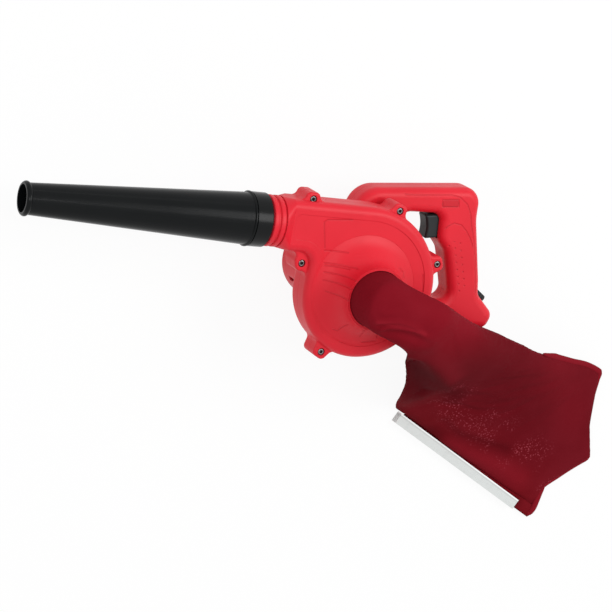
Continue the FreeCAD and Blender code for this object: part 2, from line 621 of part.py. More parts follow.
journal_end = "rear_bearing_low + rear_bearing_width"
shaft_top = "nut_low + nut_height + 1.5"
keep(turned("motor_shaft", [
    ("0", "shaft_end"), ("rear_journal", "shaft_end"), ("rear_journal", journal_end), ("shaft_radius", journal_end),
    ("shaft_radius", "hub_top"), ("thread_radius", "hub_top"), ("thread_radius", shaft_top), ("0", shaft_top)]),
    "motor_shaft")
on_shaft = "shaft_radius + fit_gap"
core = tube("armature_blank", on_shaft, "armature_radius", "field_start", "field_end")
core_slots = [outward_box("armature_slot", "armature_radius - 3", "armature_radius + 1", "1.6", "field_start - 1",
                          "field_end + 1", i * 30 + 15) for i in range(12)]
keep(cut("armature_cut", core, fuse("armature_slots", core_slots)), "armature_core")
windings = doc.addObject("Part::Compound", "windings_both")
windings.Links = [
    turned("winding_low", [(on_shaft, "field_start - winding_overhang"),
                           ("winding_radius - 2", "field_start - winding_overhang"),
                           ("winding_radius", "field_start - winding_overhang + 2"), ("winding_radius", "field_start"),
                           (on_shaft, "field_start")]),
    turned("winding_high", [(on_shaft, "field_end"), ("winding_radius", "field_end"),
                            ("winding_radius", "field_end + winding_overhang - 2"),
                            ("winding_radius - 2", "field_end + winding_overhang"),
                            (on_shaft, "field_end + winding_overhang")])]
keep(windings, "armature_windings")
commutator_end = "commutator_start + commutator_length"
keep(turned("commutator", [
    (on_shaft, "commutator_start"), ("commutator_radius", "commutator_start"),
    ("commutator_radius", commutator_end + " - 2"), ("commutator_radius + 1.5", commutator_end + " - 2"),
    ("commutator_radius + 1.5", commutator_end), (on_shaft, commutator_end)]), "commutator")

cooling_low = "field_end + winding_overhang + 1"
cooling_disc = turned("cooling_disc", [
    (on_shaft, cooling_low), ("cooling_radius", cooling_low), ("cooling_radius", cooling_low + " + 1.5"),
    ("shaft_radius + 4", cooling_low + " + 1.5"), ("shaft_radius + 4", cooling_low + " + cooling_height"),
    (on_shaft, cooling_low + " + cooling_height")])
cooling_fins = [outward_box("cooling_fin", "cooling_radius * 0.5", "cooling_radius - 0.5", "1.4", cooling_low + " + 1",
                            cooling_low + " + cooling_height", i * 360 / size.cooling_blades)
                for i in range(int(size.cooling_blades))]
keep(fuse("cooling_all", [cooling_disc] + cooling_fins), "cooling_fan")

wheel = turned("wheel_disc", [
    (on_shaft, "wheel_low"), ("wheel_radius", "wheel_low"), ("wheel_radius", "wheel_low + wheel_plate"),
    ("hub_radius + 4", "wheel_low + wheel_plate"), ("hub_radius", "wheel_low + wheel_plate + 5"),
    ("hub_radius", "hub_top"), (on_shaft, "hub_top")])


def blade(start):
    """One backward-swept blade of the fan wheel."""
    sides = []
    for side in (-1, 1):
        spots = []
        for radius, sweep in ((size.blade_inner, 0), ((size.blade_inner + size.wheel_radius) / 2, 0.36),
                              (size.wheel_radius - 0.2, 1)):
            angle = math.radians(start - sweep * size.blade_sweep) + side * size.blade_thickness / (2 * radius)
            spots.append(point(radius * math.cos(angle), radius * math.sin(angle)))
        sides.append(spots)
    first, second = sides
    outline = Part.Wire([
        Part.Arc(*first).toShape(), Part.LineSegment(first[2], second[2]).toShape(),
        Part.Arc(second[2], second[1], second[0]).toShape(), Part.LineSegment(second[0], first[0]).toShape()])
    low = size.wheel_low + size.wheel_plate
    return prism(outline, low - 0.5, low + size.blade_height)


blades = doc.addObject("Part::Feature", "wheel_blades")
blades.Shape = Part.makeCompound([blade(i * 360 / size.blade_count) for i in range(int(size.blade_count))])
keep(fuse("wheel_all", [wheel, blades]), "impeller")
washers = doc.addObject("Part::Compound", "washers_both")
washers.Links = [
    tube("washer_low", on_shaft, "washer_radius - 2", "wheel_low - washer_height", "wheel_low"),
    tube("washer_high", "thread_radius + fit_gap", "washer_radius", "hub_top", "nut_low")]
keep(washers, "impeller_washers")
nut_blank = bind(doc.addObject("Part::Prism", "nut_blank"), Circumradius="nut_radius", Height="nut_height",
                 place_z="nut_low")
keep(cut("nut_cut", nut_blank, cylinder("nut_bore", "thread_radius + fit_gap", "nut_height", "nut_low")),
     "impeller_nut")


# Handle half shells, trigger, switch and lock button

def lean(u, v):
    """Point in the trigger's own frame: u along its travel, v up its height."""
    angle = math.radians(size.trigger_angle)
    return point(size.trigger_front + u * math.cos(angle) - v * math.sin(angle),
                 size.trigger_bottom + u * math.sin(angle) + v * math.cos(angle))


def lean_box(u, v, half, corner=0):
    """Upright block from (low, high) pairs along u and v, centred on the handle's middle plane."""
    flat = [lean(u[0], v[0]), lean(u[1], v[0]), lean(u[1], v[1]), lean(u[0], v[1])]
    outline = round_outline([(spot.x, spot.y, corner) for spot in flat])
    return prism(outline, size.handle_middle - half, size.handle_middle + half)


def lean_pin(radius, start, end):
    """Bar along the trigger's travel at half its height."""
    foot = lean(start, size.trigger_height / 2)
    tip = lean(end, size.trigger_height / 2)
    foot.z = tip.z = size.handle_middle
    return Part.makeCylinder(radius, end - start, foot, tip.sub(foot))


def upright(x, y, radius, low, high):
    return Part.makeCylinder(radius, high - low, point(x, y, low))


def gland_bar(radius, start, end):
    """Bar on the axis of the cord gland."""
    angle = math.radians(size.gland_angle)
    axis = point(math.cos(angle), -math.sin(angle))
    foot = point(size.gland_x, size.gland_y, size.handle_middle).add(point(axis.x, axis.y).multiply(start))
    return Part.makeCylinder(radius, end - start, foot, axis)


handle_screw_places = [(14, 74), (60, 86), (121, 90), (156, -30), (78, -28)]
clamp_angle = 90 - size.gland_angle
clamp_side = point(math.cos(math.radians(clamp_angle)), math.sin(math.radians(clamp_angle)))
clamp_places = [(size.clamp_x + sign * size.clamp_pitch * clamp_side.x,
                 size.clamp_y + sign * size.clamp_pitch * clamp_side.y) for sign in (-1, 1)]
button_place = lean(size.button_forward, size.button_up)
capacitor_x = 126.5
capacitor_y = 33


def level_edges(solid, height, reach, spare):
    """Edges at one height that lie within a flat reach widened by a spare."""
    found = []
    for e in solid.Edges:
        b = e.BoundBox
        level = abs(b.ZMin - height) < 1e-6 and abs(b.ZMax - height) < 1e-6
        beside = b.XMin > reach.XMin - spare - 0.1 and b.XMax < reach.XMax + spare + 0.1
        if level and beside and b.YMin > reach.YMin - spare - 0.1 and b.YMax < reach.YMax + spare + 0.1:
            found.append(e)
    return found


def handle_shells():
    middle = size.handle_middle
    low = size.handle_far
    high = size.handle_near
    wall = size.handle_wall
    outline = round_outline([
        (-6.5, size.shoulder_height, 28), (size.arm_rear, size.arm_rear_height, 18),
        (size.grip_top_rear, 72, 60), (size.grip_low_rear, 8, 60), (155.5, -8, 12), (size.foot_reach, -27.5, 10),
        (171, size.foot_bottom, 10), (100, size.foot_bottom, 30), (-6.5, -40, 0)])
    blank = prism(outline, 0, 1).fuse(upright(0, 0, size.ring_outer, 0, 1)).removeSplitter()
    edge = [f for f in blank.Faces if f.BoundBox.ZMax < 1e-6][0].OuterWire
    edge = edge.makeOffset2D(size.join_round).makeOffset2D(-size.join_round)
    solid = prism(edge, low, high)
    for height in (low, high):
        solid = rounded(solid, size.handle_round, height)
    hole = round_outline([
        (size.stem_rear, size.hole_bottom, 10), (size.stem_rear, size.arm_under, 12), (92.5, 74, 9),
        (size.grip_top_front, 46, 16), (105.5, 35, 20), (size.grip_low_front, size.hole_bottom, 10)])
    solid = solid.cut(prism(hole, low - 1, high + 1))
    reach = hole.BoundBox
    for height in (low, high):
        solid = solid.makeFillet(size.hole_round, level_edges(solid, height, reach, 0))
    room = prism(edge.makeOffset2D(-wall), low + wall, high - wall)
    for height in (low + wall, high - wall):
        room = rounded(room, size.handle_round - wall, height)
    room = room.cut(prism(hole.makeOffset2D(wall), 0, 2 * high))
    for height in (low + wall, high - wall):
        room = room.makeFillet(size.hole_round - wall, level_edges(room, height, reach, wall))
    room = room.cut(upright(0, 0, size.ring_outer + 2, 0, 2 * high))
    whole = solid.cut(room)
    posts = [upright(x, y, size.boss_radius, low + 1, high - 1) for x, y in handle_screw_places]
    posts += [upright(capacitor_x, capacitor_y, size.pad_size / 2, a, b)
              for a, b in ((low + 1, middle - size.capacitor_width / 2), (middle + size.capacitor_width / 2, high - 1))]
    front = size.trigger_depth + size.trigger_travel + size.switch_gap
    rear = front + size.switch_length
    pad = lean_box((rear - size.pad_size, rear - 1), (14, 14 + size.pad_size), size.handle_half - 1)
    posts.append(pad.cut(between(middle - size.switch_width / 2, middle + size.switch_width / 2)))
    seat = gland_bar(size.gland_seat, -size.gland_inside + size.gland_flange_width + 0.1, 6).common(solid)
    whole = whole.fuse(posts + [seat])
    slack = size.trigger_slack
    tools = [upright(0, 0, size.ring_radius, 0, 2 * high),
             lean_box((5, size.trigger_depth - 1.6), (-slack, size.trigger_height + slack), size.trigger_width / 2 + slack),
             gland_bar(size.gland_root + slack / 2, -2 * size.gland_inside, 3 * size.gland_inside),
             upright(button_place.x, button_place.y, size.button_radius + slack, 0, middle)]
    for x, y in handle_screw_places:
        screw_seat = low + size.handle_screw_recess
        tools.append(upright(x, y, size.screw_head_radius + size.screw_slack, 0, screw_seat))
        tools.append(upright(x, y, size.screw_radius + size.screw_slack / 2, screw_seat, middle))
        tools.append(upright(x, y, size.screw_radius + size.fit_gap, middle, screw_seat + size.handle_screw_length + 1))
    whole = whole.cut(tools)
    near = whole.common(between(middle, 2 * high))
    far = whole.common(between(0, middle))
    for x, y in clamp_places:
        far = far.fuse(upright(x, y, size.clamp_post, low + 1, size.clamp_level))
        pilot = size.clamp_level + size.clamp_thick - size.clamp_screw_length - 1
        far = far.cut(upright(x, y, size.clamp_screw + size.fit_gap, pilot, size.clamp_level + 1))
    return near, far


near_half, far_half = handle_shells()
made("handle_shell_near", near_half)
made("handle_shell_far", far_half)
screw_set("handle_screws", size.screw_radius, size.handle_screw_length, size.screw_head_radius,
          size.screw_head_height, [(x, y, size.handle_far + size.handle_screw_recess) for x, y in handle_screw_places], 1)


def trigger_shape():
    depth = size.trigger_depth
    height = size.trigger_height
    half = size.trigger_width / 2
    middle = size.handle_middle
    corners = [lean(0, 0), lean(depth, 0), lean(depth, height), lean(-0.8, height)]
    dent = lean(2, height / 2)
    outline = Part.Wire([
        Part.LineSegment(corners[0], corners[1]).toShape(), Part.LineSegment(corners[1], corners[2]).toShape(),
        Part.LineSegment(corners[2], corners[3]).toShape(), Part.Arc(corners[3], dent, corners[0]).toShape()])
    solid = prism(outline, middle - half, middle + half)
    front = [e for e in solid.Edges if min(e.CenterOfMass.distanceToPoint(point(c.x, c.y, middle))
                                           for c in (corners[0], corners[3])) < 1e-3]
    solid = solid.makeFillet(1.6, front)
    sides = [e for e in solid.Edges if e.BoundBox.ZLength < 1e-3 and e.BoundBox.XMin < dent.x
             and e.CenterOfMass.distanceToPoint(point(dent.x, dent.y, e.BoundBox.ZMin)) < height / 4]
    solid = solid.makeFillet(2.6, sides)
    wall = size.trigger_hollow
    solid = solid.fuse(lean_box((depth - 2, depth), (-1.4, height + 1.4), half + 1.4))
    solid = solid.cut(lean_box((2 + wall, depth + 1), (wall, height - wall), half - wall))
    return solid.fuse(lean_pin(size.plunger_radius, 2 + wall / 2, depth + size.switch_gap + size.trigger_travel + 2))


def switch_shape():
    front = size.trigger_depth + size.trigger_travel + size.switch_gap
    spare = (size.switch_height - size.trigger_height) / 2
    solid = lean_box((front, front + size.switch_length), (-spare, size.trigger_height + spare),
                     size.switch_width / 2, 1.5)
    bore = lean_pin(size.plunger_radius + size.trigger_slack, front - 1, front + 2 + size.trigger_travel + 2)
    return solid.cut(bore)


made("trigger", trigger_shape())
made("switch_body", switch_shape())

button_top = size.handle_far + size.handle_wall + size.fit_gap + size.button_skirt
button_low = size.handle_far - size.button_proud
button_stem = rounded(upright(button_place.x, button_place.y, size.button_radius, button_low, button_top - 0.2),
                      1.2, button_low)
button_flange = upright(button_place.x, button_place.y, size.button_radius + 1.6, button_top - size.button_skirt,
                        button_top)
made("lock_button", button_stem.fuse(button_flange))

capacitor = box("capacitor_block", "capacitor_length", "capacitor_height", "capacitor_width",
                "%g - capacitor_length / 2" % capacitor_x, "%g - capacitor_height / 2" % capacitor_y,
                "handle_middle - capacitor_width / 2")
keep(capacitor, "suppressor_capacitor")


# Cord gland and clamp

gland_slope = "(gland_root - gland_tip) / gland_length"
gland_outline = [
    ("gland_bore", "-gland_inside"), ("gland_flange", "-gland_inside"),
    ("gland_flange", "-gland_inside + gland_flange_width"), ("gland_root", "-gland_inside + gland_flange_width")]
for i in range(int(size.gland_grooves)):
    start = size.gland_length - 4.5 - 3.6 * (size.gland_grooves - 1 - i)
    width = 1.5
    for s, deep in ((start, 0), (start, 0.7), (start + width, 0.7), (start + width, 0)):
        gland_outline.append(("gland_root - %g * %s - %g" % (s, gland_slope, deep), "%g" % s))
gland_outline += [("gland_tip", "gland_length"), ("gland_bore", "gland_length")]
gland = turned("gland_body", gland_outline)
gland.Placement = FreeCAD.Placement(
    point(size.gland_x, size.gland_y, size.handle_middle),
    FreeCAD.Rotation(point(0, 0, 1), point(math.cos(math.radians(size.gland_angle)),
                                           -math.sin(math.radians(size.gland_angle)))))
keep(gland, "cord_gland")


def clamp_shape():
    bar = Part.makeBox(size.clamp_length, size.clamp_width, size.clamp_thick,
                       point(-size.clamp_length / 2, -size.clamp_width / 2, size.clamp_level))
    bar = bar.makeFillet(2, [e for e in bar.Edges if e.BoundBox.ZLength > size.clamp_thick - 1e-3])
    bar.rotate(point(0, 0, 0), point(0, 0, 1), clamp_angle)
    bar.translate(point(size.clamp_x, size.clamp_y))
    holes = [upright(x, y, size.clamp_screw + size.screw_slack / 2, 0, 2 * size.clamp_level) for x, y in clamp_places]
    return bar.cut(holes)


made("cord_clamp", clamp_shape())
screw_set("clamp_screws", size.clamp_screw, size.clamp_screw_length, size.clamp_head, size.clamp_head_height,
          [(x, y, size.clamp_level + size.clamp_thick) for x, y in clamp_places], -1)


# Nozzle and collar, turned about the outlet's axis; heights run outwards along -X

def on_outlet(item):
    item.Placement = FreeCAD.Placement(point(0, 0, 0), FreeCAD.Rotation(point(0, 1, 0), -90))
    return bind(item, place_y="outlet_y", place_z="parting")


taper = "(nozzle_base - nozzle_tip) / nozzle_length"
sleeve_top = "collar_end + sleeve_length"
sleeve_out = "nozzle_base - nozzle_wall - collar_slack"
keep(on_outlet(turned("collar_body", [
    ("spigot_radius + collar_slack", "collar_start"), ("collar_radius - collar_bevel", "collar_start"),
    ("collar_radius", "collar_start + collar_bevel"), ("collar_radius", "collar_end"),
    (sleeve_out, "collar_end"), (sleeve_out + " - sleeve_length * " + taper, sleeve_top),
    ("spigot_radius - spigot_wall", sleeve_top), ("spigot_radius - spigot_wall", "spigot_end + collar_slack"),
    ("spigot_radius + collar_slack", "spigot_end + collar_slack")])), "nozzle_collar")

nozzle_tube = on_outlet(turned("nozzle_tube", [
    ("nozzle_base - nozzle_wall", "nozzle_start"), ("nozzle_rim - 0.5", "nozzle_start"),
    ("nozzle_rim", "nozzle_start + 0.5"), ("nozzle_rim", "nozzle_start + 1.4"),
    ("nozzle_rim - 0.5", "nozzle_start + 1.9"), ("nozzle_base", "nozzle_start + 2.4"),
    ("nozzle_tip", "nozzle_end"), ("nozzle_tip - nozzle_wall", "nozzle_end")]))
bead = doc.addObject("Part::Torus", "nozzle_bead")
bind(bead, Radius1="nozzle_tip - 1", Radius2="bead_radius")
bead.Placement = FreeCAD.Placement(point(0, 0, 0), FreeCAD.Rotation(point(0, 1, 0), -90))
bind(bead, place_x="bead_radius - nozzle_end", place_y="outlet_y", place_z="parting")
mouth = cylinder("nozzle_mouth", "mouth_radius", "mouth_length + 2")
mouth.Placement = FreeCAD.Placement(point(0, 0, 0), FreeCAD.Rotation(point(0, 1, 0), -90))
bind(mouth, place_x="mouth_length - nozzle_end", place_y="outlet_y", place_z="parting")
keep(cut("nozzle_cut", fuse("nozzle_solid", [nozzle_tube, bead]), mouth), "nozzle")


# Bag connector, bag and closure rail

def in_port(item):
    return bind(item, place_x="port_x", place_y="port_y")


keep(in_port(turned("bag_pipe_body", [
    ("pipe_radius - pipe_wall", "pipe_low"), ("pipe_radius + pipe_flange", "pipe_low"),
    ("pipe_radius + pipe_flange", "pipe_low + pipe_flange"), ("pipe_radius", "pipe_low + pipe_flange"),
    ("pipe_radius", "pipe_top"), ("pipe_radius - pipe_wall", "pipe_top")])), "bag_pipe")

rail_way = point(math.cos(math.radians(size.rail_angle)), math.sin(math.radians(size.rail_angle)))
rail_side = point(-rail_way.y, rail_way.x)
rail_mid = size.rail_height / 2


def by_rail(along, aside, height):
    """Point beside the rail: along it from its start, to the bag's side of its axis, above the floor."""
    return point(size.rail_start_x + along * rail_way.x + aside * rail_side.x,
                 size.rail_start_y + along * rail_way.y + aside * rail_side.y, height)


def bag_spot(x, y, z):
    """Point of the bag: shares of its reach from the port's axis, and a share of its mouth's height."""
    return point(size.port_x + x * size.bag_reach, size.port_y + y * size.bag_reach, z * size.bag_start)


def bag_section(line, thick):
    """Row of points round an oval section of the bag, out along a line over its top and back below."""
    up = rail_way.cross(line[-1].sub(line[0])).normalize()
    if up.z < 0:
        up.multiply(-1)
    row = []
    for i in range(int(size.bag_points)):
        angle = 2 * math.pi * i / size.bag_points
        place = (0.5 - 0.5 * math.cos(angle)) * (len(line) - 1)
        leg = min(int(place), len(line) - 2)
        step = line[leg + 1].sub(line[leg])
        spot = line[leg].add(step.multiply(place - leg))
        row.append(spot.add(point(*up).multiply(0.5 * thick * math.sin(angle))))
    return row


def bag_ring(centre, way):
    """Row of points round the neck, in the same order as the oval sections."""
    axis = point(*way).normalize()
    side = axis.cross(point(0.35, 0.94, 0)).normalize()
    other = side.cross(axis).normalize()
    row = []
    for i in range(int(size.bag_points)):
        angle = 2 * math.pi * i / size.bag_points
        row.append(centre.add(point(*other).multiply(-size.neck_radius * math.cos(angle))).add(
            point(*side).multiply(size.neck_radius * math.sin(angle))))
    return row


def between_rows(rows, i, share):
    """Row part of the way from row i to the next, on a smooth curve through the rows."""
    chosen = [rows[max(i - 1, 0)], rows[i], rows[i + 1], rows[min(i + 2, len(rows) - 1)]]
    s = share
    weights = [(-s + 2 * s ** 2 - s ** 3) / 2, (2 - 5 * s ** 2 + 3 * s ** 3) / 2,
               (s + 4 * s ** 2 - 3 * s ** 3) / 2, (-s ** 2 + s ** 3) / 2]
    made_row = []
    for spots in zip(*chosen):
        spot = point(0, 0)
        for near, weight in zip(spots, weights):
            spot = spot.add(point(*near).multiply(weight))
        made_row.append(spot)
    return made_row


def bag_shape():
    mouth = point(size.port_x, size.port_y, size.bag_start)
    rows = [bag_ring(mouth, point(0, 0, 1)),
            bag_ring(mouth.add(point(2, -1, 9)), point(0.15, -0.07, 1)),
            bag_ring(mouth.add(point(8, -4, 17)), point(0.42, -0.2, 1))]
    beside = 0.64 * size.rail_width
    full = size.bag_reach / 10
    length = size.rail_length
    for line, thick in (
            ([bag_spot(0.085, -0.119, 1.032), bag_spot(0.15, 0.023, 1.176)], 0.95),
            ([bag_spot(0.154, -0.175, 0.82), bag_spot(0.24, -0.019, 1.063)], 1),
            ([bag_spot(0.228, -0.257, 0.559), bag_spot(0.344, -0.061, 0.926)], 1),
            ([bag_spot(0.279, -0.345, 0.311), bag_spot(0.466, -0.102, 0.728)], 1),
            ([by_rail(-0.05 * length, beside, rail_mid), bag_spot(0.57, -0.139, 0.565)], 1),
            ([by_rail(0.03 * length, beside, rail_mid), bag_spot(0.6, -0.149, 0.515)], 1),
            ([by_rail(0.26 * length, beside, rail_mid), bag_spot(0.685, -0.181, 0.372)], 1),
            ([by_rail(0.54 * length, beside, rail_mid), bag_spot(0.809, -0.213, 0.212)], 0.9),
            ([by_rail(0.77 * length, beside, rail_mid), bag_spot(0.924, -0.243, 0.099)], 0.74),
            ([by_rail(0.97 * length, beside, rail_mid), bag_spot(0.933, -0.477, 0.057), bag_spot(0.982, -0.267, 0.057)],
             0.47),
            ([by_rail(1.12 * length, beside, rail_mid), bag_spot(0.89, -0.626, 0.033), bag_spot(1.024, -0.534, 0.038),
              bag_spot(0.995, -0.437, 0.042), bag_spot(0.987, -0.284, 0.042)], 0.2)):
        rows.append(bag_section(line, thick * full))
    smooth = []
    for i in range(len(rows) - 1):
        smooth += [between_rows(rows, i, k / size.bag_steps) for k in range(int(size.bag_steps))]
    smooth.append(rows[-1])
    for row_points in smooth:
        for spot in row_points:
            spot.z = max(spot.z, size.bag_floor_gap)
    count = int(size.bag_points)
    spots = [spot for row_points in smooth for spot in row_points]
    facets = []
    for i in range(len(smooth) - 1):
        for k in range(count):
            a = i * count + k
            b = i * count + (k + 1) % count
            facets += [(a, b, a + count), (b, b + count, a + count)]
    for i, flip in ((0, True), (len(smooth) - 1, False)):
        middle = point(0, 0)
        for spot in smooth[i]:
            middle = middle.add(point(*spot).multiply(1 / count))
        spots.append(middle)
        for k in range(count):
            pair = (i * count + k, i * count + (k + 1) % count)
            facets.append((len(spots) - 1,) + (pair if not flip else pair[::-1]))
    shell = Part.Shape()
    shell.makeShapeFromMesh((spots, facets), 0.01)
    body = Part.makeSolid(shell)
    run = length - size.hem_start + size.hem_over
    tongue = Part.makeBox(run, size.hem_reach, size.hem_thick)
    tongue.rotate(point(0, 0, 0), point(0, 0, 1), size.rail_angle)
    tongue.translate(by_rail(size.hem_start, 0, rail_mid - size.hem_thick / 2))
    cord = Part.makeCylinder(size.hem_bead, run, by_rail(size.hem_start, 0, rail_mid), rail_way)
    return body.fuse([tongue, cord])


made("dust_bag", bag_shape())
keep(in_port(tube("bag_cuff_tube", "pipe_radius + cloth_gap", "neck_radius", "pipe_low + pipe_flange + cloth_gap",
                  "bag_start")), "bag_cuff")

rail_block = box("rail_block", "rail_length", "rail_width", "rail_height", "0", "-rail_width / 2", "0")
rail_room = box("rail_room", "rail_length + 2", "rail_width - 2 * rail_wall", "rail_height - 2 * rail_wall", "rail_wall",
                "rail_wall - rail_width / 2", "rail_wall")
rail_gap = box("rail_gap", "rail_length + 2", "rail_width", "rail_slot", "rail_wall", "0",
               "(rail_height - rail_slot) / 2")
rail = cut("rail_cut", rail_block, fuse("rail_inside", [rail_room, rail_gap]))
rail.Placement = FreeCAD.Placement(point(0, 0, 0), FreeCAD.Rotation(point(0, 0, 1), size.rail_angle))
keep(bind(rail, place_x="rail_start_x", place_y="rail_start_y"), "closure_rail")


# Every piece is checked, then written

doc.recompute()
for item in doc.Objects:
    if "Invalid" in item.State or "Error" in item.State:
        raise RuntimeError("%s did not compute" % item.Label)
os.makedirs("parts", exist_ok=True)
for item in parts:
    shape = item.Shape
    print("%-22s solids %d  volume %9.0f  valid %s  Z %.2f to %.2f" % (
        item.Label, len(shape.Solids), shape.Volume, shape.isValid(), shape.BoundBox.ZMin, shape.BoundBox.ZMax))
    if shape.isNull() or not shape.isValid() or not shape.Solids:
        raise RuntimeError("%s has no sound solid" % item.Label)
for item in parts:
    item.Shape.exportStep("parts/%s.step" % item.Label)
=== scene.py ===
import math
import bpy
from mathutils import Matrix, Vector, noise
from mathutils.bvhtree import BVHTree


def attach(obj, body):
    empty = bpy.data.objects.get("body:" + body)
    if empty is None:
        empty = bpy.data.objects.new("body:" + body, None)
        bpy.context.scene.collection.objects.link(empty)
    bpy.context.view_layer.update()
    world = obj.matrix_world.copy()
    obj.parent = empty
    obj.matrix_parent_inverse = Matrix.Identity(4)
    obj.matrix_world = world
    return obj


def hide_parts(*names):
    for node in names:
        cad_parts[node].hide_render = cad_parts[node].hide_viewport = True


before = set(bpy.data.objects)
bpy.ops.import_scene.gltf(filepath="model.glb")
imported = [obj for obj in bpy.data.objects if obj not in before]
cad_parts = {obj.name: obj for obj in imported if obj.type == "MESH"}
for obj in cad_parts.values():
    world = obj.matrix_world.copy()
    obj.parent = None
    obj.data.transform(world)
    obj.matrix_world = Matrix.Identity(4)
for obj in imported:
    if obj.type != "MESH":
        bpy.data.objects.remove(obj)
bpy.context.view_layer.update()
mm = 0.001
print("frame loaded:", len(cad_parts), "nodes")


# Shader building: a Socket takes the usual signs, a Shade makes every other node

class Socket:
    def __init__(self, shade, output):
        self.shade = shade
        self.output = output

    def math(self, operation, *values, clamp=False):
        inputs = {i: value for i, value in enumerate(values)}
        return self.shade.add("ShaderNodeMath", {"operation": operation, "use_clamp": clamp}, inputs)

    def __add__(self, other):
        return self.math("ADD", self, other)

    def __radd__(self, other):
        return self.math("ADD", other, self)

    def __sub__(self, other):
        return self.math("SUBTRACT", self, other)

    def __rsub__(self, other):
        return self.math("SUBTRACT", other, self)

    def __mul__(self, other):
        return self.math("MULTIPLY", self, other)

    def __rmul__(self, other):
        return self.math("MULTIPLY", other, self)

    def __truediv__(self, other):
        return self.math("DIVIDE", self, other)

    def __rtruediv__(self, other):
        return self.math("DIVIDE", other, self)

    def low(self, other):
        return self.math("MINIMUM", self, other)

    def high(self, other):
        return self.math("MAXIMUM", self, other)

    def clamped(self):
        return self.math("ADD", self, 0.0, clamp=True)


class Shade:
    def __init__(self, name, owners=bpy.data.materials):
        self.owner = owners.new(name)
        self.owner.use_nodes = True
        self.tree = self.owner.node_tree
        self.tree.nodes.clear()

    def add(self, kind, settings=None, inputs=None, output=0):
        node = self.tree.nodes.new(kind)
        for key, value in (settings or {}).items():
            if key == "stops":
                ramp = node.color_ramp
                while len(ramp.elements) < len(value):
                    ramp.elements.new(0.5)
                for element, (place, colour) in zip(ramp.elements, value):
                    element.position = place
                    element.color = colour
            else:
                setattr(node, key, value)
        for key, value in (inputs or {}).items():
            if isinstance(value, Socket):
                self.tree.links.new(value.output, node.inputs[key])
            else:
                node.inputs[key].default_value = value
        return Socket(self, node.outputs[output]) if len(node.outputs) else None

    def outputs(self, kind, names):
        first = self.add(kind).output.node
        return [Socket(self, first.outputs[name]) for name in names]

    def place(self):
        return self.add("ShaderNodeTexCoord", output="Object")

    def parts(self, vector):
        split = self.add("ShaderNodeSeparateXYZ", inputs={0: vector})
        return [Socket(self, split.output.node.outputs[i]) for i in range(3)]

    def grain(self, vector, scale, detail=2.0, roughness=0.5):
        return self.add("ShaderNodeTexNoise", inputs={
            "Vector": vector, "Scale": scale, "Detail": detail, "Roughness": roughness})

    def cells(self, vector, scale):
        return self.add("ShaderNodeTexVoronoi", inputs={"Vector": vector, "Scale": scale}, output="Distance")

    def stretched(self, vector, factors):
        return self.add("ShaderNodeVectorMath", {"operation": "MULTIPLY"}, {0: vector, 1: factors})

    def smooth(self, value, start, end):
        return self.add("ShaderNodeMapRange", {"interpolation_type": "SMOOTHSTEP"}, {
            "Value": value, "From Min": start, "From Max": end, "To Min": 0.0, "To Max": 1.0})

    def toned(self, share, first, second):
        return self.add("ShaderNodeMix", {"data_type": "RGBA"}, {0: share, 6: first, 7: second}, output=2)

    def toLine(self, vector, points):
        # distance to a line through points in the plane of X and Y
        nearest = None
        for (ax, ay), (bx, by) in zip(points, points[1:]):
            run = Vector((bx - ax, by - ay, 0.0))
            rel = self.add("ShaderNodeVectorMath", {"operation": "SUBTRACT"}, {0: vector, 1: (ax, ay, 0.0)})
            along = self.add("ShaderNodeVectorMath", {"operation": "DOT_PRODUCT"},
                             {0: rel, 1: tuple(run / run.length_squared)}, output="Value").clamped()
            foot = self.add("ShaderNodeVectorMath", {"operation": "SCALE"}, {0: tuple(run), "Scale": along})
            gap = self.add("ShaderNodeVectorMath", {"operation": "DISTANCE"}, {0: rel, 1: foot}, output="Value")
            nearest = gap if nearest is None else nearest.low(gap)
        return nearest

    def finish(self, height, depth, strength, soften=0.0, **inputs):
        # principled surface with fine relief; soften is the radius that rounds its sharp edges
        named = {key.replace("_", " "): value for key, value in inputs.items()}
        raised = {"Strength": strength, "Distance": depth, "Height": height}
        if soften:
            raised["Normal"] = self.add("ShaderNodeBevel", {"samples": 6}, {"Radius": soften})
        named["Normal"] = self.add("ShaderNodeBump", inputs=raised)
        surface = self.add("ShaderNodeBsdfPrincipled", inputs=named)
        self.add("ShaderNodeOutputMaterial", inputs={"Surface": surface})
        return self.owner


def tint(*colour):
    return (colour[0], colour[1], colour[2], 1.0)


# Red moulding, with the lines and dimples of the pieces that carry them, cut in relief and darkened with
# painted shade

# the dark red and the line and pocket shares are painted shade, laid in the carved lines, dimples and pocket
redLook = {"colour": (0.72, 0.014, 0.030), "shade": (0.60, 0.009, 0.020), "cut": (0.28, 0.003, 0.007),
           "roughness": 0.38, "grain": 0.00007, "specular": 0.26, "lineWidth": 0.0011, "lineDepth": 6.0,
           "lineShade": 0.22, "pocketShade": 0.35, "soften": 0.0016, "coverSoften": 0.0007}

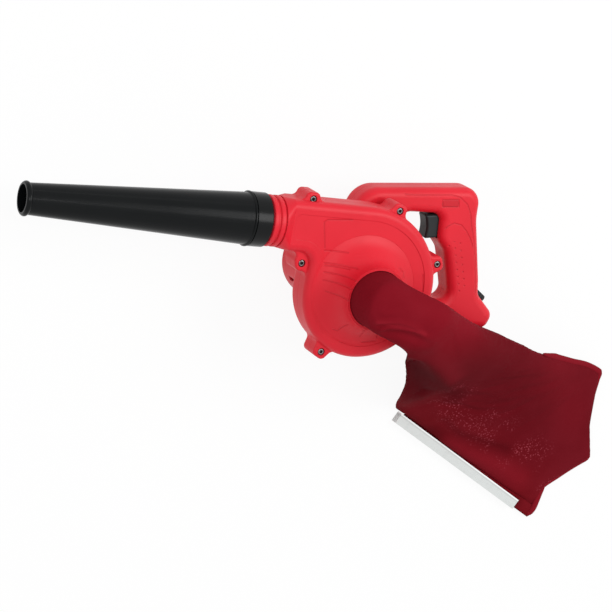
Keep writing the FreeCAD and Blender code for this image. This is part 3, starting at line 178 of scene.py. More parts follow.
handleMarks = {
    "level": 0.081,
    "lines": [
        [(28.5, 100.8), (39.2, 96.5), (46.3, 90.9)],
        [(46.3, 90.9), (67.5, 92.2), (97.3, 95.1), (108.5, 93.2), (118.5, 86.6), (124.1, 77.3), (128.1, 64.8),
         (136.1, 45.8), (142.7, 22.4), (148.3, -4.8)],
        [(94.7, 50.7), (96.4, 56.7), (101.1, 62.5), (107.4, 66.0), (116.1, 64.8), (123.4, 59.0), (129.3, 51.8),
         (134.3, 43.6)],
        [(88.6, 89.1), (107.3, 90.7), (108.9, 83.4), (90.2, 81.8), (88.6, 89.1)],
    ],
    "pocket": [(92.4, 85.5), (105.1, 86.6)],
    "pocketWidth": 3.7,
    "dimples": {"start": (106.9, 41.7), "way": (0.316, -0.949), "pitch": 7.8, "columns": 6.4, "count": 3,
                "length": 52.0, "radius": 1.4},
}
coverMarks = {
    "level": 0.1205,
    "lines": [
        [(-28.7, 68.4), (-55.5, 66.2), (-58.5, 63.5), (-52.8, 38.1)],
        [(-52.5, 35.5), (-28.8, 36.2)],
        [(-50.4, 23.1), (-23.8, 24.6)],
        [(-49.9, 20.8), (-29.5, 22.3)],
        [(-49.8, 14.2), (-29.3, 15.3)],
        [(-49.8, 6.4), (-31.4, 6.9)],
        [(-46.1, -4.1), (-33.7, -4.6)],
        [(-28.5, -42.8), (-23.6, -43.9), (-18.6, -34.3)],
        [(60.7, 19.0), (64.5, 1.6)],
        [(30.9, 25.1), (35.5, 21.5), (37.6, 15.3)],
        [(2.3, -48.1), (3.9, -40.7), (0.8, -39.9), (14.5, -37.6), (20.2, -39.7), (23.0, -49.1)],
        [(7.3, -54.7), (22.6, -52.3)],
    ],
}


def metres(points):
    return [(x * mm, y * mm) for x, y in points]


def dimpleRows(shade, x, y, marks):
    ax, ay = marks["way"]
    ox, oy = marks["start"]
    along = ((x - ox * mm) * ax + (y - oy * mm) * ay) / (marks["pitch"] * mm)
    across = ((x - ox * mm) * -ay + (y - oy * mm) * ax) / (marks["columns"] * mm) + 0.5
    column = across.math("FLOOR", across)
    shifted = along + column.math("PINGPONG", column, 1.0) * 0.5
    u = (shifted.math("FRACT", shifted + 0.5) - 0.5) * (marks["pitch"] * mm)
    v = (across.math("FRACT", across) - 0.5) * (marks["columns"] * mm)
    gap = u.math("SQRT", u * u + v * v)
    spot = 1.0 - shade.smooth(gap, marks["radius"] * 0.4 * mm, marks["radius"] * mm)
    inside = across.math("GREATER_THAN", across, 0.0)
    inside = inside * across.math("LESS_THAN", across, float(marks["count"]))
    inside = inside * along.math("GREATER_THAN", along, -0.5)
    return spot * inside * along.math("LESS_THAN", along, marks["length"] / marks["pitch"])


def redMoulding(name, marks=None, soften=redLook["soften"]):
    shade = Shade(name)
    place = shade.place()
    clouds = shade.grain(place, 14.0, 3.0)
    fine = shade.grain(place, 2400.0, 2.0)
    coarse = shade.grain(place, 700.0, 2.0)
    height = fine * 0.5 + coarse * 0.3
    shaded = shade.smooth(clouds, 0.3, 0.7) * 0.5
    colour = shade.toned(shaded, tint(*redLook["colour"]), tint(*redLook["shade"]))
    if marks:
        x, y, z = shade.parts(place)
        flat = shade.stretched(place, (1.0, 1.0, 0.0))
        carved = None
        for line in marks["lines"]:
            gap = shade.toLine(flat, metres(line))
            cut = 1.0 - shade.smooth(gap, 0.2 * redLook["lineWidth"], redLook["lineWidth"])
            carved = cut if carved is None else carved.high(cut)
        if "dimples" in marks:
            carved = carved.high(dimpleRows(shade, x, y, marks["dimples"]))
        carved = carved * shade.smooth(z, marks["level"] - 0.0014, marks["level"] - 0.0006)
        height = height - carved * redLook["lineDepth"]
        # painted shade: the carved lines and dimples are darkened in colour
        colour = shade.toned(carved * redLook["lineShade"], colour, tint(*redLook["cut"]))
        if "pocket" in marks:
            # painted shade: the pocket is darkened in colour
            middle = shade.toLine(flat, metres(marks["pocket"]))
            rim = marks["pocketWidth"]
            pocketShadeMask = 1.0 - shade.smooth(middle, (rim - 0.5) * mm, (rim + 0.5) * mm)
            colour = shade.toned(pocketShadeMask * redLook["pocketShade"], colour, tint(*redLook["cut"]))
    roughness = redLook["roughness"] + clouds * 0.05 + coarse * 0.04
    return shade.finish(height, redLook["grain"], 0.9, soften, Base_Color=colour, Roughness=roughness,
                        Specular_IOR_Level=redLook["specular"])


# Black and grey mouldings

darkLooks = {
    "nozzleBlack": {"colour": (0.0030, 0.0036, 0.0040), "pale": (0.006, 0.007, 0.0075), "roughness": 0.16,
                    "specular": 0.12, "streak": 0.35, "grain": 0.00004},
    "collarBlack": {"colour": (0.0028, 0.0034, 0.0038), "pale": (0.006, 0.0066, 0.007), "roughness": 0.17,
                    "specular": 0.16, "streak": 0.2, "grain": 0.00005},
    "triggerGrey": {"colour": (0.012, 0.016, 0.017), "pale": (0.020, 0.027, 0.028), "roughness": 0.36,
                    "specular": 0.25, "streak": 0.2, "grain": 0.00014},
    "innerBlack": {"colour": (0.012, 0.012, 0.013), "pale": (0.024, 0.024, 0.026), "roughness": 0.42,
                   "specular": 0.4, "streak": 0.2, "grain": 0.00012},
    "wheelGrey": {"colour": (0.05, 0.05, 0.053), "pale": (0.09, 0.09, 0.095), "roughness": 0.45,
                  "specular": 0.4, "streak": 0.2, "grain": 0.00012},
}


def darkMoulding(name):
    look = darkLooks[name]
    shade = Shade(name)
    place = shade.place()
    clouds = shade.grain(place, 22.0, 3.0)
    drawn = shade.grain(shade.stretched(place, (4.0, 90.0, 90.0)), 3.0, 3.0)
    fine = shade.grain(place, 1900.0, 2.0)
    colour = shade.toned(clouds * 0.5 + drawn * look["streak"], tint(*look["colour"]), tint(*look["pale"]))
    roughness = look["roughness"] + clouds * 0.06 + drawn * 0.05
    return shade.finish(fine * 0.6 + drawn * 0.2, look["grain"], 0.8, Base_Color=colour, Roughness=roughness,
                        Specular_IOR_Level=look["specular"])


# Cloth of the bag: fine crossed threads under a thin coating, with painted shade in its folds and painted light
# on its creases and hem

# the way across the rail, and how far the cloth's edge and the rail's seam lie from the origin that way
railSide = {"x": 0.4879, "y": 0.8729, "cloth": 0.0837, "seam": 0.08375}
# among these colours the darkest red is painted shade for the folds, the light red painted light for the
# creases and the hem, the red by the rail a painted lighter band, and the pale pink painted glints
clothLook = {"neck": (0.195, 0.0058, 0.0125), "body": (0.138, 0.0056, 0.0104), "pale": (0.34, 0.030, 0.048),
             "wornAndLit": (0.150, 0.0050, 0.0085), "threads": 1500.0, "paintedShade": (0.040, 0.0016, 0.0030),
             "paintedLight": (0.245, 0.0100, 0.0190), "glintSpeck": (0.56, 0.10, 0.14), "glintTone": 0.42,
             "relief": 0.00012, "specular": 0.012}
# painted shade over the cloth seen from above, then painted light: a line, its half width and its share
paintedShadeLines = [
    ([(46, -56), (60, -68), (78, -85), (94, -102), (110, -117)], 15, 0.62),
    ([(60, -61), (93, -80), (117, -96), (146, -113), (170, -126)], 9, 0.42),
    ([(140, -88), (190, -104), (262, -132), (312, -146)], 46, 0.24),
    ([(172, -176), (200, -184), (230, -192), (262, -198)], 8, 0.3),
    ([(120, -160), (205, -208), (300, -261)], 7, 0.35),
]
# painted light along the creases and lit rises of the cloth
paintedLightLines = [
    ([(-17, -16), (-8, -15), (4, -15), (12, -15.8), (21, -18), (34, -22)], 2.2, 0.9),
    ([(44, -49), (65, -56), (97, -70), (128, -88)], 9, 0.3),
    ([(196, -200), (245, -213), (292, -234)], 13, 0.45),
    ([(290, -96), (318, -118), (338, -150)], 22, 0.22),
    ([(20, 4), (60, -4), (110, -22)], 9, 0.3),
]


def acrossRail(x, y):
    return x * railSide["x"] + y * railSide["y"]


def bagCloth(name, paintedLight=0.0):
    shade = Shade(name)
    place = shade.place()
    x, y, z = shade.parts(place)
    spread = math.pi * clothLook["threads"]
    warp = (x * 0.88 - y * 0.47 + z * 0.3) * spread
    weft = (x * 0.47 + y * 0.88 - z * 0.3) * spread
    over = warp.math("SINE", warp) * weft.math("SINE", weft)
    clouds = shade.grain(place, 16.0, 4.0, 0.55)
    slub = shade.grain(place, 420.0, 2.0)
    glintSpeck = shade.cells(place, 430.0)
    base = shade.toned(shade.smooth(z, 0.10, 0.19), tint(*clothLook["body"]), tint(*clothLook["neck"]))
    nearRail = acrossRail(x, y) + railSide["cloth"]
    # painted light: the cloth is made lighter in a band along the rail
    base = shade.toned((1.0 - shade.smooth(nearRail, 0.004, 0.075)) * 0.8, base, tint(*clothLook["wornAndLit"]))
    base = shade.toned(shade.smooth(clouds, 0.35, 0.75) * 0.12, base, tint(*clothLook["pale"]))
    flat = shade.stretched(place, (1.0, 1.0, 0.0))
    # painted shade along the fold lines and painted light along the creases
    for lines, tone in ((paintedShadeLines, "paintedShade"), (paintedLightLines, "paintedLight")):
        for line, width, part in lines:
            near = 1.0 - shade.smooth(shade.toLine(flat, metres(line)), 0.0, 2 * width * mm)
            base = shade.toned(near * part, base, tint(*clothLook[tone]))
    # painted glints: pale pink specks in a band along the rail on the low cloth
    patches = shade.smooth(shade.grain(place, 26.0, 2.0), 0.40, 0.56)
    band = shade.smooth(nearRail, 0.018, 0.034) * (1.0 - shade.smooth(nearRail, 0.062, 0.085))
    low = (1.0 - shade.smooth(z, 0.085, 0.11)) * shade.smooth(x, 0.120, 0.150)
    glint = (1.0 - shade.smooth(glintSpeck, 0.22, 0.46)) * shade.smooth(slub, 0.47, 0.56) * (patches * band * low)
    base = shade.toned(glint * clothLook["glintTone"], base, tint(*clothLook["glintSpeck"]))
    # painted light laid over the whole piece, used for the hem
    if paintedLight:
        base = shade.toned(paintedLight, base, tint(*clothLook["paintedLight"]))
    height = over * 0.4 + slub * 0.8 - glintSpeck * 0.4
    roughness = 0.62 + clouds * 0.12 - glint * 0.2
    return shade.finish(height, clothLook["relief"], 0.55, Base_Color=base, Roughness=roughness,
                        Specular_IOR_Level=clothLook["specular"])


threadLook = {"low": (0.10, 0.004, 0.008), "high": (0.22, 0.012, 0.02), "roughness": 0.6, "relief": 0.0001}


def stitchThread(name):
    shade = Shade(name)
    place = shade.place()
    twist = shade.grain(place, 3200.0, 1.0)
    colour = shade.toned(twist, tint(*threadLook["low"]), tint(*threadLook["high"]))
    return shade.finish(twist, threadLook["relief"], 0.7, Base_Color=colour,
                        Roughness=threadLook["roughness"] + twist * 0.1)


# Metals, rubber and the pieces inside

metalLooks = {
    "brightSteel": {"colour": (0.55, 0.55, 0.56), "dull": (0.36, 0.36, 0.37),
                    "roughness": 0.24, "grain": 600.0, "metallic": 1.0},
    "darkScrew": {"colour": (0.06, 0.055, 0.055), "dull": (0.02, 0.018, 0.018),
                  "roughness": 0.20, "grain": 900.0, "metallic": 1.0},
    "screwRim": {"colour": (0.20, 0.19, 0.19), "dull": (0.10, 0.09, 0.09),
                 "roughness": 0.16, "grain": 900.0, "metallic": 1.0},
    "brassParts": {"colour": (0.72, 0.50, 0.20), "dull": (0.45, 0.30, 0.12),
                   "roughness": 0.28, "grain": 600.0, "metallic": 1.0},
    "commutatorCopper": {"colour": (0.72, 0.32, 0.17), "dull": (0.35, 0.16, 0.09),
                         "roughness": 0.26, "grain": 800.0, "metallic": 1.0},
    "brushCarbon": {"colour": (0.03, 0.03, 0.032), "dull": (0.014, 0.014, 0.015),
                    "roughness": 0.55, "grain": 1200.0, "metallic": 0.2},
}


def metal(name):
    look = metalLooks[name]
    shade = Shade(name)
    place = shade.place()
    turned = shade.grain(shade.stretched(place, (1.0, 1.0, 6.0)), look["grain"], 3.0)
    wornAndLit = shade.grain(place, 60.0, 3.0)
    colour = shade.toned(shade.smooth(wornAndLit, 0.4, 0.75), tint(*look["colour"]), tint(*look["dull"]))
    return shade.finish(turned, 0.00005, 0.6, Base_Color=colour, Roughness=look["roughness"] + wornAndLit * 0.15,
                        Metallic=look["metallic"])


rubberLook = {"low": (0.012, 0.013, 0.014), "high": (0.035, 0.036, 0.038), "roughness": 0.62, "specular": 0.3}


def rubber(name):
    shade = Shade(name)
    place = shade.place()
    bloom = shade.grain(place, 45.0, 3.0)
    pits = shade.grain(place, 1600.0, 2.0)
    colour = shade.toned(bloom, tint(*rubberLook["low"]), tint(*rubberLook["high"]))
    return shade.finish(pits, 0.0001, 0.8, Base_Color=colour, Roughness=rubberLook["roughness"] + bloom * 0.12,
                        Specular_IOR_Level=rubberLook["specular"])


sheetLook = {"low": (0.16, 0.16, 0.17), "high": (0.30, 0.29, 0.28), "pitch": 0.0005, "roughness": 0.42,
             "metallic": 0.85}


def stackedSheets(name):
    shade = Shade(name)
    place = shade.place()
    sheets = shade.parts(place)[2] * (2 * math.pi / sheetLook["pitch"])
    ridge = sheets.math("SINE", sheets)
    stain = shade.grain(place, 70.0, 3.0)
    colour = shade.toned(stain, tint(*sheetLook["low"]), tint(*sheetLook["high"]))
    return shade.finish(ridge, 0.0001, 0.8, Base_Color=colour, Roughness=sheetLook["roughness"] + stain * 0.2,
                        Metallic=sheetLook["metallic"])


wireLook = {"low": (0.36, 0.11, 0.035), "high": (0.72, 0.28, 0.11), "scale": 420.0, "roughness": 0.28,
            "metallic": 0.9}


def woundWire(name):
    shade = Shade(name)
    place = shade.place()
    wires = shade.add("ShaderNodeTexWave", {"wave_type": "BANDS", "bands_direction": "DIAGONAL"}, {
        "Vector": place, "Scale": wireLook["scale"], "Distortion": 1.5, "Detail": 1.0}, output="Fac")
    stain = shade.grain(place, 50.0, 3.0)
    colour = shade.toned(wires, tint(*wireLook["low"]), tint(*wireLook["high"]))
    return shade.finish(wires, 0.0003, 0.9, Base_Color=colour, Roughness=wireLook["roughness"] + stain * 0.18,
                        Metallic=wireLook["metallic"])


# the groove colour is painted shade in the rail's groove, the edge colour a painted highlight along its outer
# edge
railLook = {"colour": (0.66, 0.685, 0.675), "scuffed": (0.59, 0.61, 0.60), "groove": (0.42, 0.44, 0.43),
            "edge": (0.95, 0.96, 0.96), "grooveAt": 0.0036, "grooveWidth": (0.0003, 0.0009), "grooveTone": 0.35,
            "edgeAt": (0.0044, 0.0051), "roughness": 0.38, "specular": 0.4}


def extrusion(name):
    shade = Shade(name)
    place = shade.place()
    x, y, z = shade.parts(place)
    across = acrossRail(x, y)
    drawn = shade.add("ShaderNodeCombineXYZ", inputs={0: across * 60.0, 1: z * 60.0, 2: 0.0})
    lines = shade.grain(drawn, 18.0, 3.0)
    scuff = shade.grain(place, 130.0, 4.0, 0.6)
    scuffed = shade.smooth(scuff, 0.45, 0.8) * 0.6
    colour = shade.toned(scuffed, tint(*railLook["colour"]), tint(*railLook["scuffed"]))
    aside = across + railSide["seam"]
    # painted shade in the groove and a painted highlight along the outer edge
    off = aside - railLook["grooveAt"]
    groove = 1.0 - shade.smooth(off.math("ABSOLUTE", off), *railLook["grooveWidth"])
    colour = shade.toned(groove * railLook["grooveTone"], colour, tint(*railLook["groove"]))
    colour = shade.toned(shade.smooth(aside, *railLook["edgeAt"]), colour, tint(*railLook["edge"]))
    return shade.finish(lines * 0.5 + scuff * 0.2, 0.00012, 0.7, Base_Color=colour,
                        Roughness=railLook["roughness"] + scuff * 0.14, Specular_IOR_Level=railLook["specular"])


dipLook = {"low": (0.02, 0.05, 0.20), "high": (0.04, 0.09, 0.30), "roughness": 0.22}


def dippedBlue(name):
    shade = Shade(name)
    place = shade.place()
    runs = shade.grain(place, 90.0, 3.0)
    colour = shade.toned(runs, tint(*dipLook["low"]), tint(*dipLook["high"]))
    return shade.finish(runs, 0.0004, 0.6, Base_Color=colour, Roughness=dipLook["roughness"] + runs * 0.1)


finishes = {
    "cover": redMoulding("coverRed", coverMarks, redLook["coverSoften"]),
    "red": redMoulding("shellRed"),
    "port": redMoulding("portRed", coverMarks, 0.0),
    "handle": redMoulding("handleRed", handleMarks),
    "nozzle": darkMoulding("nozzleBlack"),
    "collar": darkMoulding("collarBlack"),
    "grey": darkMoulding("triggerGrey"),
    "black": darkMoulding("innerBlack"),
    "wheel": darkMoulding("wheelGrey"),
    "cloth": bagCloth("burgundyCloth"),
    # the hem's cloth is lightened with painted light
    "hem": bagCloth("hemCloth", 0.7),
    "thread": stitchThread("seamThread"),
    "steel": metal("brightSteel"),
    "darkScrew": metal("darkScrew"),
    "screwRim": metal("screwRim"),
    "brass": metal("brassParts"),
    "copper": woundWire("woundCopper"),
    "commutator": metal("commutatorCopper"),
    "carbon": metal("brushCarbon"),
    "sheets": stackedSheets("coreSheets"),
    "rubber": rubber("darkRubber"),
    "rail": extrusion("railWhite"),
    "blue": dippedBlue("capacitorBlue"),
}

nodeFinish = {
    "fan_cover": "cover", "intake_port": "port", "fan_housing": "red", "cover_screws": "darkScrew",
    "handle_shell_near": "handle", "handle_shell_far": "red", "handle_screws": "darkScrew",
    "motor_housing": "red", "motor_end_cap": "red", "end_cap_screws": "darkScrew", "motor_flange": "black",
    "field_core": "sheets", "field_coils": "copper", "armature_core": "sheets", "armature_windings": "copper",
    "commutator": "commutator", "motor_shaft": "steel", "cooling_fan": "black",
    "front_bearing": "steel", "rear_bearing": "steel", "rear_bearing_boot": "rubber",
    "brush_holders": "brass", "carbon_brushes": "carbon", "brush_springs": "steel",
    "impeller": "wheel", "impeller_washers": "steel", "impeller_nut": "steel",
    "switch_body": "black", "suppressor_capacitor": "blue", "trigger": "grey", "lock_button": "grey",
    "cord_gland": "rubber", "cord_clamp": "black", "clamp_screws": "steel",
    "nozzle_collar": "collar", "nozzle": "nozzle",
    "bag_pipe": "black", "dust_bag": "cloth", "bag_cuff": "cloth", "closure_rail": "rail",
}


def wear(thing, finish):
    thing.data.materials.clear()
    thing.data.materials.append(finishes[finish])


for nodeName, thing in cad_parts.items():
    wear(thing, nodeFinish[nodeName])
print("finishes on", len(nodeFinish), "nodes")


# Dust bag: a loft through rows of its neck and body, folded, blown out as cloth, then pleated

bag = {"around": 96, "steps": 8, "neckRadius": 28.6, "reach": 379.0, "mouth": (-3.0, -1.3, 160.8),
       "railLength": 194.0, "railAngle": -29.2, "railStart": (129.3, -168.2), "railLevel": 4.5, "beside": 7.7,
       "floorGap": 1.0, "voxel": 3.6, "slim": 0.94, "foldFacing": 0.15}
# air in the cloth: frames and force, the most it moves, where it is held and over what width the hold fades
blow = {"frames": 20, "cap": 6.0,
        "heldRail": 14.0, "heldNeck": 36.0, "heldEnd": 10.0, "fade": 20.0, "heldFloor": 3.5,
        "settings": {"quality": 5, "mass": 0.25, "tension_stiffness": 18.0, "compression_stiffness": 12.0,
                     "shear_stiffness": 6.0, "bending_stiffness": 0.4, "use_pressure": True,
                     "uniform_pressure_force": 3.0}}


def byRail(along, aside, height):
    turn = math.radians(bag["railAngle"])
    return Vector((bag["railStart"][0] + along * math.cos(turn) - aside * math.sin(turn),
                   bag["railStart"][1] + along * math.sin(turn) + aside * math.cos(turn), height))


railWay = (byRail(1, 0, 0) - byRail(0, 0, 0)).normalized()


def atRail(share):
    return byRail(share * bag["railLength"], bag["beside"], bag["railLevel"])


def spotAt(x, y, z):
    return Vector((bag["mouth"][0] + x * bag["reach"], bag["mouth"][1] + y * bag["reach"], z * bag["mouth"][2]))


bagSections = [
    ([spotAt(0.085, -0.119, 1.032), spotAt(0.15, 0.023, 1.176)], 36),
    ([spotAt(0.154, -0.175, 0.82), spotAt(0.24, -0.019, 1.063)], 38),
    ([spotAt(0.228, -0.257, 0.559), spotAt(0.344, -0.061, 0.926)], 38),
    ([spotAt(0.279, -0.345, 0.311), spotAt(0.466, -0.102, 0.728)], 38),
    ([atRail(-0.05), spotAt(0.57, -0.139, 0.565)], 38),
    ([atRail(0.03), spotAt(0.6, -0.149, 0.515)], 38),
    ([atRail(0.26), spotAt(0.685, -0.181, 0.372)], 38),
    ([atRail(0.54), spotAt(0.809, -0.213, 0.212)], 34),
    ([atRail(0.77), spotAt(0.924, -0.243, 0.099)], 28),
    ([atRail(0.97), spotAt(0.933, -0.477, 0.057), spotAt(0.982, -0.267, 0.057)], 18),
    ([atRail(1.12), spotAt(0.89, -0.626, 0.033),
      spotAt(1.024, -0.534, 0.038), spotAt(0.995, -0.437, 0.042), spotAt(0.987, -0.284, 0.042)], 8),
]

# each fold: a line over the cloth, its half width, and how far it stands out or in
bagFolds = [
    ([(44, -52, 150), (50, -55, 159), (62, -60, 155), (80, -70, 142), (100, -80, 125)], 9, 2.5),
    ([(66, -77, 133), (92, -102, 100), (112, -120, 78), (124, -138, 50)], 11, -8),
    ([(100, -84, 122), (130, -102, 92), (164, -118, 62), (191, -127, 53), (225, -134, 50), (262, -138, 44)],
     17, -5),
    ([(175, -170, 21), (202, -186, 18), (230, -192, 20), (260, -197, 20), (290, -205, 16)], 9, -3),
    ([(154, -134, 45), (179, -153, 34), (205, -177, 25), (238, -183, 25), (281, -190, 21), (330, -196, 17)],
     13, 3.5),
    ([(263, -205, 18), (290, -214, 16), (320, -226, 12)], 12, 2),
]
bagPleats = [
    ([(43, -50, 163), (58, -57, 159), (73, -65, 149), (93, -77, 131), (117, -92, 108), (146, -109, 76)],
     8, 3.5),
    ([(50, -62, 150), (60, -72, 142), (78, -89, 120), (94, -104, 99), (112, -118, 80)], 10, -6),
    ([(176, -166, 24), (200, -182, 20), (230, -190, 21), (262, -197, 20)], 8, -3),
    ([(190, -192, 14), (224, -203, 12), (266, -219, 12), (292, -232, 10)], 10, 2.5),
    ([(-16, -15, 187), (-6, -13, 190), (3, -12, 192), (13, -13, 193), (25, -16, 194)], 2.8, 2.4),
    ([(-12, -19, 186), (-3, -16, 190), (8, -15, 191), (22, -17, 193)], 2.4, -2.0),
    ([(-10, -22, 185), (-4, -18, 189), (8, -18, 190), (24, -19, 193), (38, -24, 190)], 2.8, 2.6),
    ([(-2, -26, 184), (10, -24, 188), (26, -26, 189), (44, -32, 184)], 4.5, -2.6),
    ([(-24, -2, 178), (-12, -5, 190), (4, -4, 197)], 3.5, 0.8),
]


def sectionRow(line, thick):
    line = [Vector(spot) for spot in line]
    up = railWay.cross(line[-1] - line[0]).normalized()
    if up.z < 0:
        up.negate()
    row = []
    for i in range(bag["around"]):
        angle = 2 * math.pi * i / bag["around"]
        place = (0.5 - 0.5 * math.cos(angle)) * (len(line) - 1)
        leg = min(int(place), len(line) - 2)
        spot = line[leg].lerp(line[leg + 1], place - leg)
        row.append(spot + up * (0.5 * thick * bag["slim"] * math.sin(angle)))
    return row


def ringRow(rise, way):
    axis = Vector(way).normalized()
    side = axis.cross(Vector((0.35, 0.94, 0))).normalized()
    other = side.cross(axis).normalized()
    centre = Vector(bag["mouth"]) + Vector(rise)
    row = []
    for i in range(bag["around"]):
        angle = 2 * math.pi * i / bag["around"]
        row.append(centre - other * (bag["neckRadius"] * math.cos(angle))
                   + side * (bag["neckRadius"] * math.sin(angle)))
    return row


def blended(rows, i, s):
    chosen = [rows[max(i - 1, 0)], rows[i], rows[i + 1], rows[min(i + 2, len(rows) - 1)]]
    weights = [(-s + 2 * s * s - s ** 3) / 2, (2 - 5 * s * s + 3 * s ** 3) / 2,
               (s + 4 * s * s - 3 * s ** 3) / 2, (-s * s + s ** 3) / 2]
    return [sum((spot * w for spot, w in zip(spots, weights)), Vector()) for spots in zip(*chosen)]


def bagRows():
    rows = [ringRow((0, 0, -14), (0, 0, 1)), ringRow((0, 0, 0), (0, 0, 1)),
            ringRow((2, -1, 9), (0.15, -0.07, 1)), ringRow((8, -4, 17), (0.42, -0.2, 1))]
    rows += [sectionRow(line, thick) for line, thick in bagSections]
    smooth = []
    for i in range(len(rows) - 1):
        smooth += [blended(rows, i, k / bag["steps"]) for k in range(bag["steps"])]
    smooth.append(rows[-1])
    for row in smooth:
        for spot in row:
            spot.z = max(spot.z, bag["floorGap"])
    return smooth


def meshFrom(name, spots, faces, smooth=True):
    mesh = bpy.data.meshes.new(name)
    mesh.from_pydata([tuple(spot) for spot in spots], [], faces)
    mesh.update()
    for face in mesh.polygons:
        face.use_smooth = smooth
    thing = bpy.data.objects.new(name, mesh)
    bpy.context.scene.collection.objects.link(thing)
    return thing


def settled(thing, kind, **settings):
    # gives the thing the mesh that one modifier makes of it
    modifier = thing.modifiers.new(kind.lower(), kind)
    for key, value in settings.items():
        setattr(modifier, key, value)
    bpy.context.view_layer.update()
    mesh = bpy.data.meshes.new_from_object(thing.evaluated_get(bpy.context.evaluated_depsgraph_get()))
    thing.modifiers.clear()
    thing.data = mesh
    for face in mesh.polygons:
        face.use_smooth = True


def fold(thing, folds):
    # moves only cloth that faces up
    for line, width, rise in folds:
        legs = [(Vector(a) * mm, Vector(b) * mm) for a, b in zip(line, line[1:])]
        normals = [vertex.normal.copy() for vertex in thing.data.vertices]
        for vertex, normal in zip(thing.data.vertices, normals):
            if normal.z < bag["foldFacing"]:
                continue
            gap = 1.0
            for i, (a, b) in enumerate(legs):
                share = (vertex.co - a).dot(b - a) / (b - a).length_squared
                gap = min(gap, (vertex.co - a.lerp(b, min(max(share, 0.0), 1.0))).length)
            if gap < 3 * width * mm:
                vertex.co += normal * (rise * mm * math.exp(-(gap / (width * mm)) ** 2))
        thing.data.update()


def blowOut(thing):
    rest = [vertex.co.copy() for vertex in thing.data.vertices]
    pinned = thing.vertex_groups.new(name="held")
    railOrigin = byRail(0, 0, 0) * mm
    outward = railWay.cross(Vector((0, 0, -1)))
    for i, spot in enumerate(rest):
        gaps = [(abs((spot - railOrigin).dot(outward)), blow["heldRail"]),
                ((spot - Vector(bag["mouth"]) * mm).length, blow["heldNeck"]),
                (min((spot - mark * mm).length for mark in bagSections[-1][0]), blow["heldEnd"])]
        hold = max(1.0 - (gap - held * mm) / (blow["fade"] * mm) for gap, held in gaps)
        hold = max(hold, 1.0 if spot.z < blow["heldFloor"] * mm else 0.0)
        pinned.add([i], min(max(hold, 0.0), 1.0), "REPLACE")
    cloth = thing.modifiers.new("cloth", "CLOTH")
    for key, value in blow["settings"].items():
        setattr(cloth.settings, key, value)
    cloth.settings.vertex_group_mass = "held"
    cloth.settings.effector_weights.gravity = 0.0
    cloth.collision_settings.use_collision = False
    cloth.point_cache.frame_start = 1
    cloth.point_cache.frame_end = blow["frames"]
    for number in range(1, blow["frames"] + 1):
        bpy.context.scene.frame_set(number)
    mesh = bpy.data.meshes.new_from_object(thing.evaluated_get(bpy.context.evaluated_depsgraph_get()))
    thing.modifiers.clear()
    thing.vertex_groups.clear()
    bpy.context.scene.frame_set(1)
    cap = blow["cap"] * mm
    most = 0.0
    for vertex, spot in zip(mesh.vertices, rest):
        move = vertex.co - spot
        most = max(most, move.length)
        if move.length > cap:
            vertex.co = spot + move * (cap / move.length)
        vertex.co.z = max(vertex.co.z, bag["floorGap"] * mm)
    thing.data = mesh
    for face in mesh.polygons:
        face.use_smooth = True
    print("bag blown out, most movement %.1f mm" % (most / mm))


def makeBag():
    rows = bagRows()
    count = bag["around"]
    spots = [spot * mm for row in rows for spot in row]
    faces = []
    for i in range(len(rows) - 1):
        for k in range(count):
            faces.append((i * count + k, i * count + (k + 1) % count,
                          (i + 1) * count + (k + 1) % count, (i + 1) * count + k))
    faces.append(tuple(range(count))[::-1])
    last = (len(rows) - 1) * count
    for k in range(count // 2 - 1):
        a, b = last + k + 1, last + k + 2
        c, d = last + count - k - 2, last + count - k - 1
        faces.append((a, b, c, d) if k < count // 2 - 2 else (a, b, d))
    faces.append((last, last + 1, last + count - 1))
    thing = meshFrom("clothBag", spots, faces)
    fold(thing, bagFolds)
    settled(thing, "REMESH", mode="VOXEL", voxel_size=bag["voxel"] * mm)
    blowOut(thing)
    settled(thing, "SUBSURF", levels=1, render_levels=1)
    fold(thing, bagPleats)
    return thing


clothBag = makeBag()
wear(clothBag, "cloth")
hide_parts("dust_bag")
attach(clothBag, "bag")
print("bag:", len(clothBag.data.vertices), "points")


# Hem round the bag's far end, its stitches, and the edge that sits in the rail

hem = {"width": 4.0, "thick": 3.1, "around": 12, "step": 2.0, "wave": 1.3, "taper": 14}
stitch = {"length": 2.4, "gap": 1.6, "inset": 5.2, "radius": 0.28, "lift": 0.12, "rings": 5, "around": 6}
sweep = {"least": 0.02, "ripple": 0.045}
railEdge = {"step": 4.0,
            "tongue": {"ends": ((4, 3.5), (100, 3.5), (224, 4.0)), "width": 7.5, "thick": 0.8, "around": 10},
            "bead": {"ends": ((4.5, 0), (100, 0), (204, 0)), "width": 2.5, "thick": 2.5, "around": 14}}
hemPath = [spotAt(0.700, -0.190, 0.345), spotAt(0.740, -0.200, 0.290), spotAt(0.809, -0.2165, 0.205),
           spotAt(0.924, -0.2465, 0.093), spotAt(0.978, -0.266, 0.055), spotAt(0.986, -0.275, 0.047),
           spotAt(0.984, -0.30, 0.042), spotAt(0.981, -0.40, 0.042), spotAt(0.990, -0.47, 0.04),
           spotAt(1.010, -0.527, 0.038), spotAt(1.008, -0.538, 0.036), spotAt(0.975, -0.56, 0.034),
           spotAt(0.89, -0.622, 0.033), spotAt(0.878, -0.645, 0.031), spotAt(0.866, -0.705, 0.028),
           spotAt(0.852, -0.722, 0.028), byRail(221.5, 10, bag["railLevel"]),
           byRail(221, 3, bag["railLevel"])]


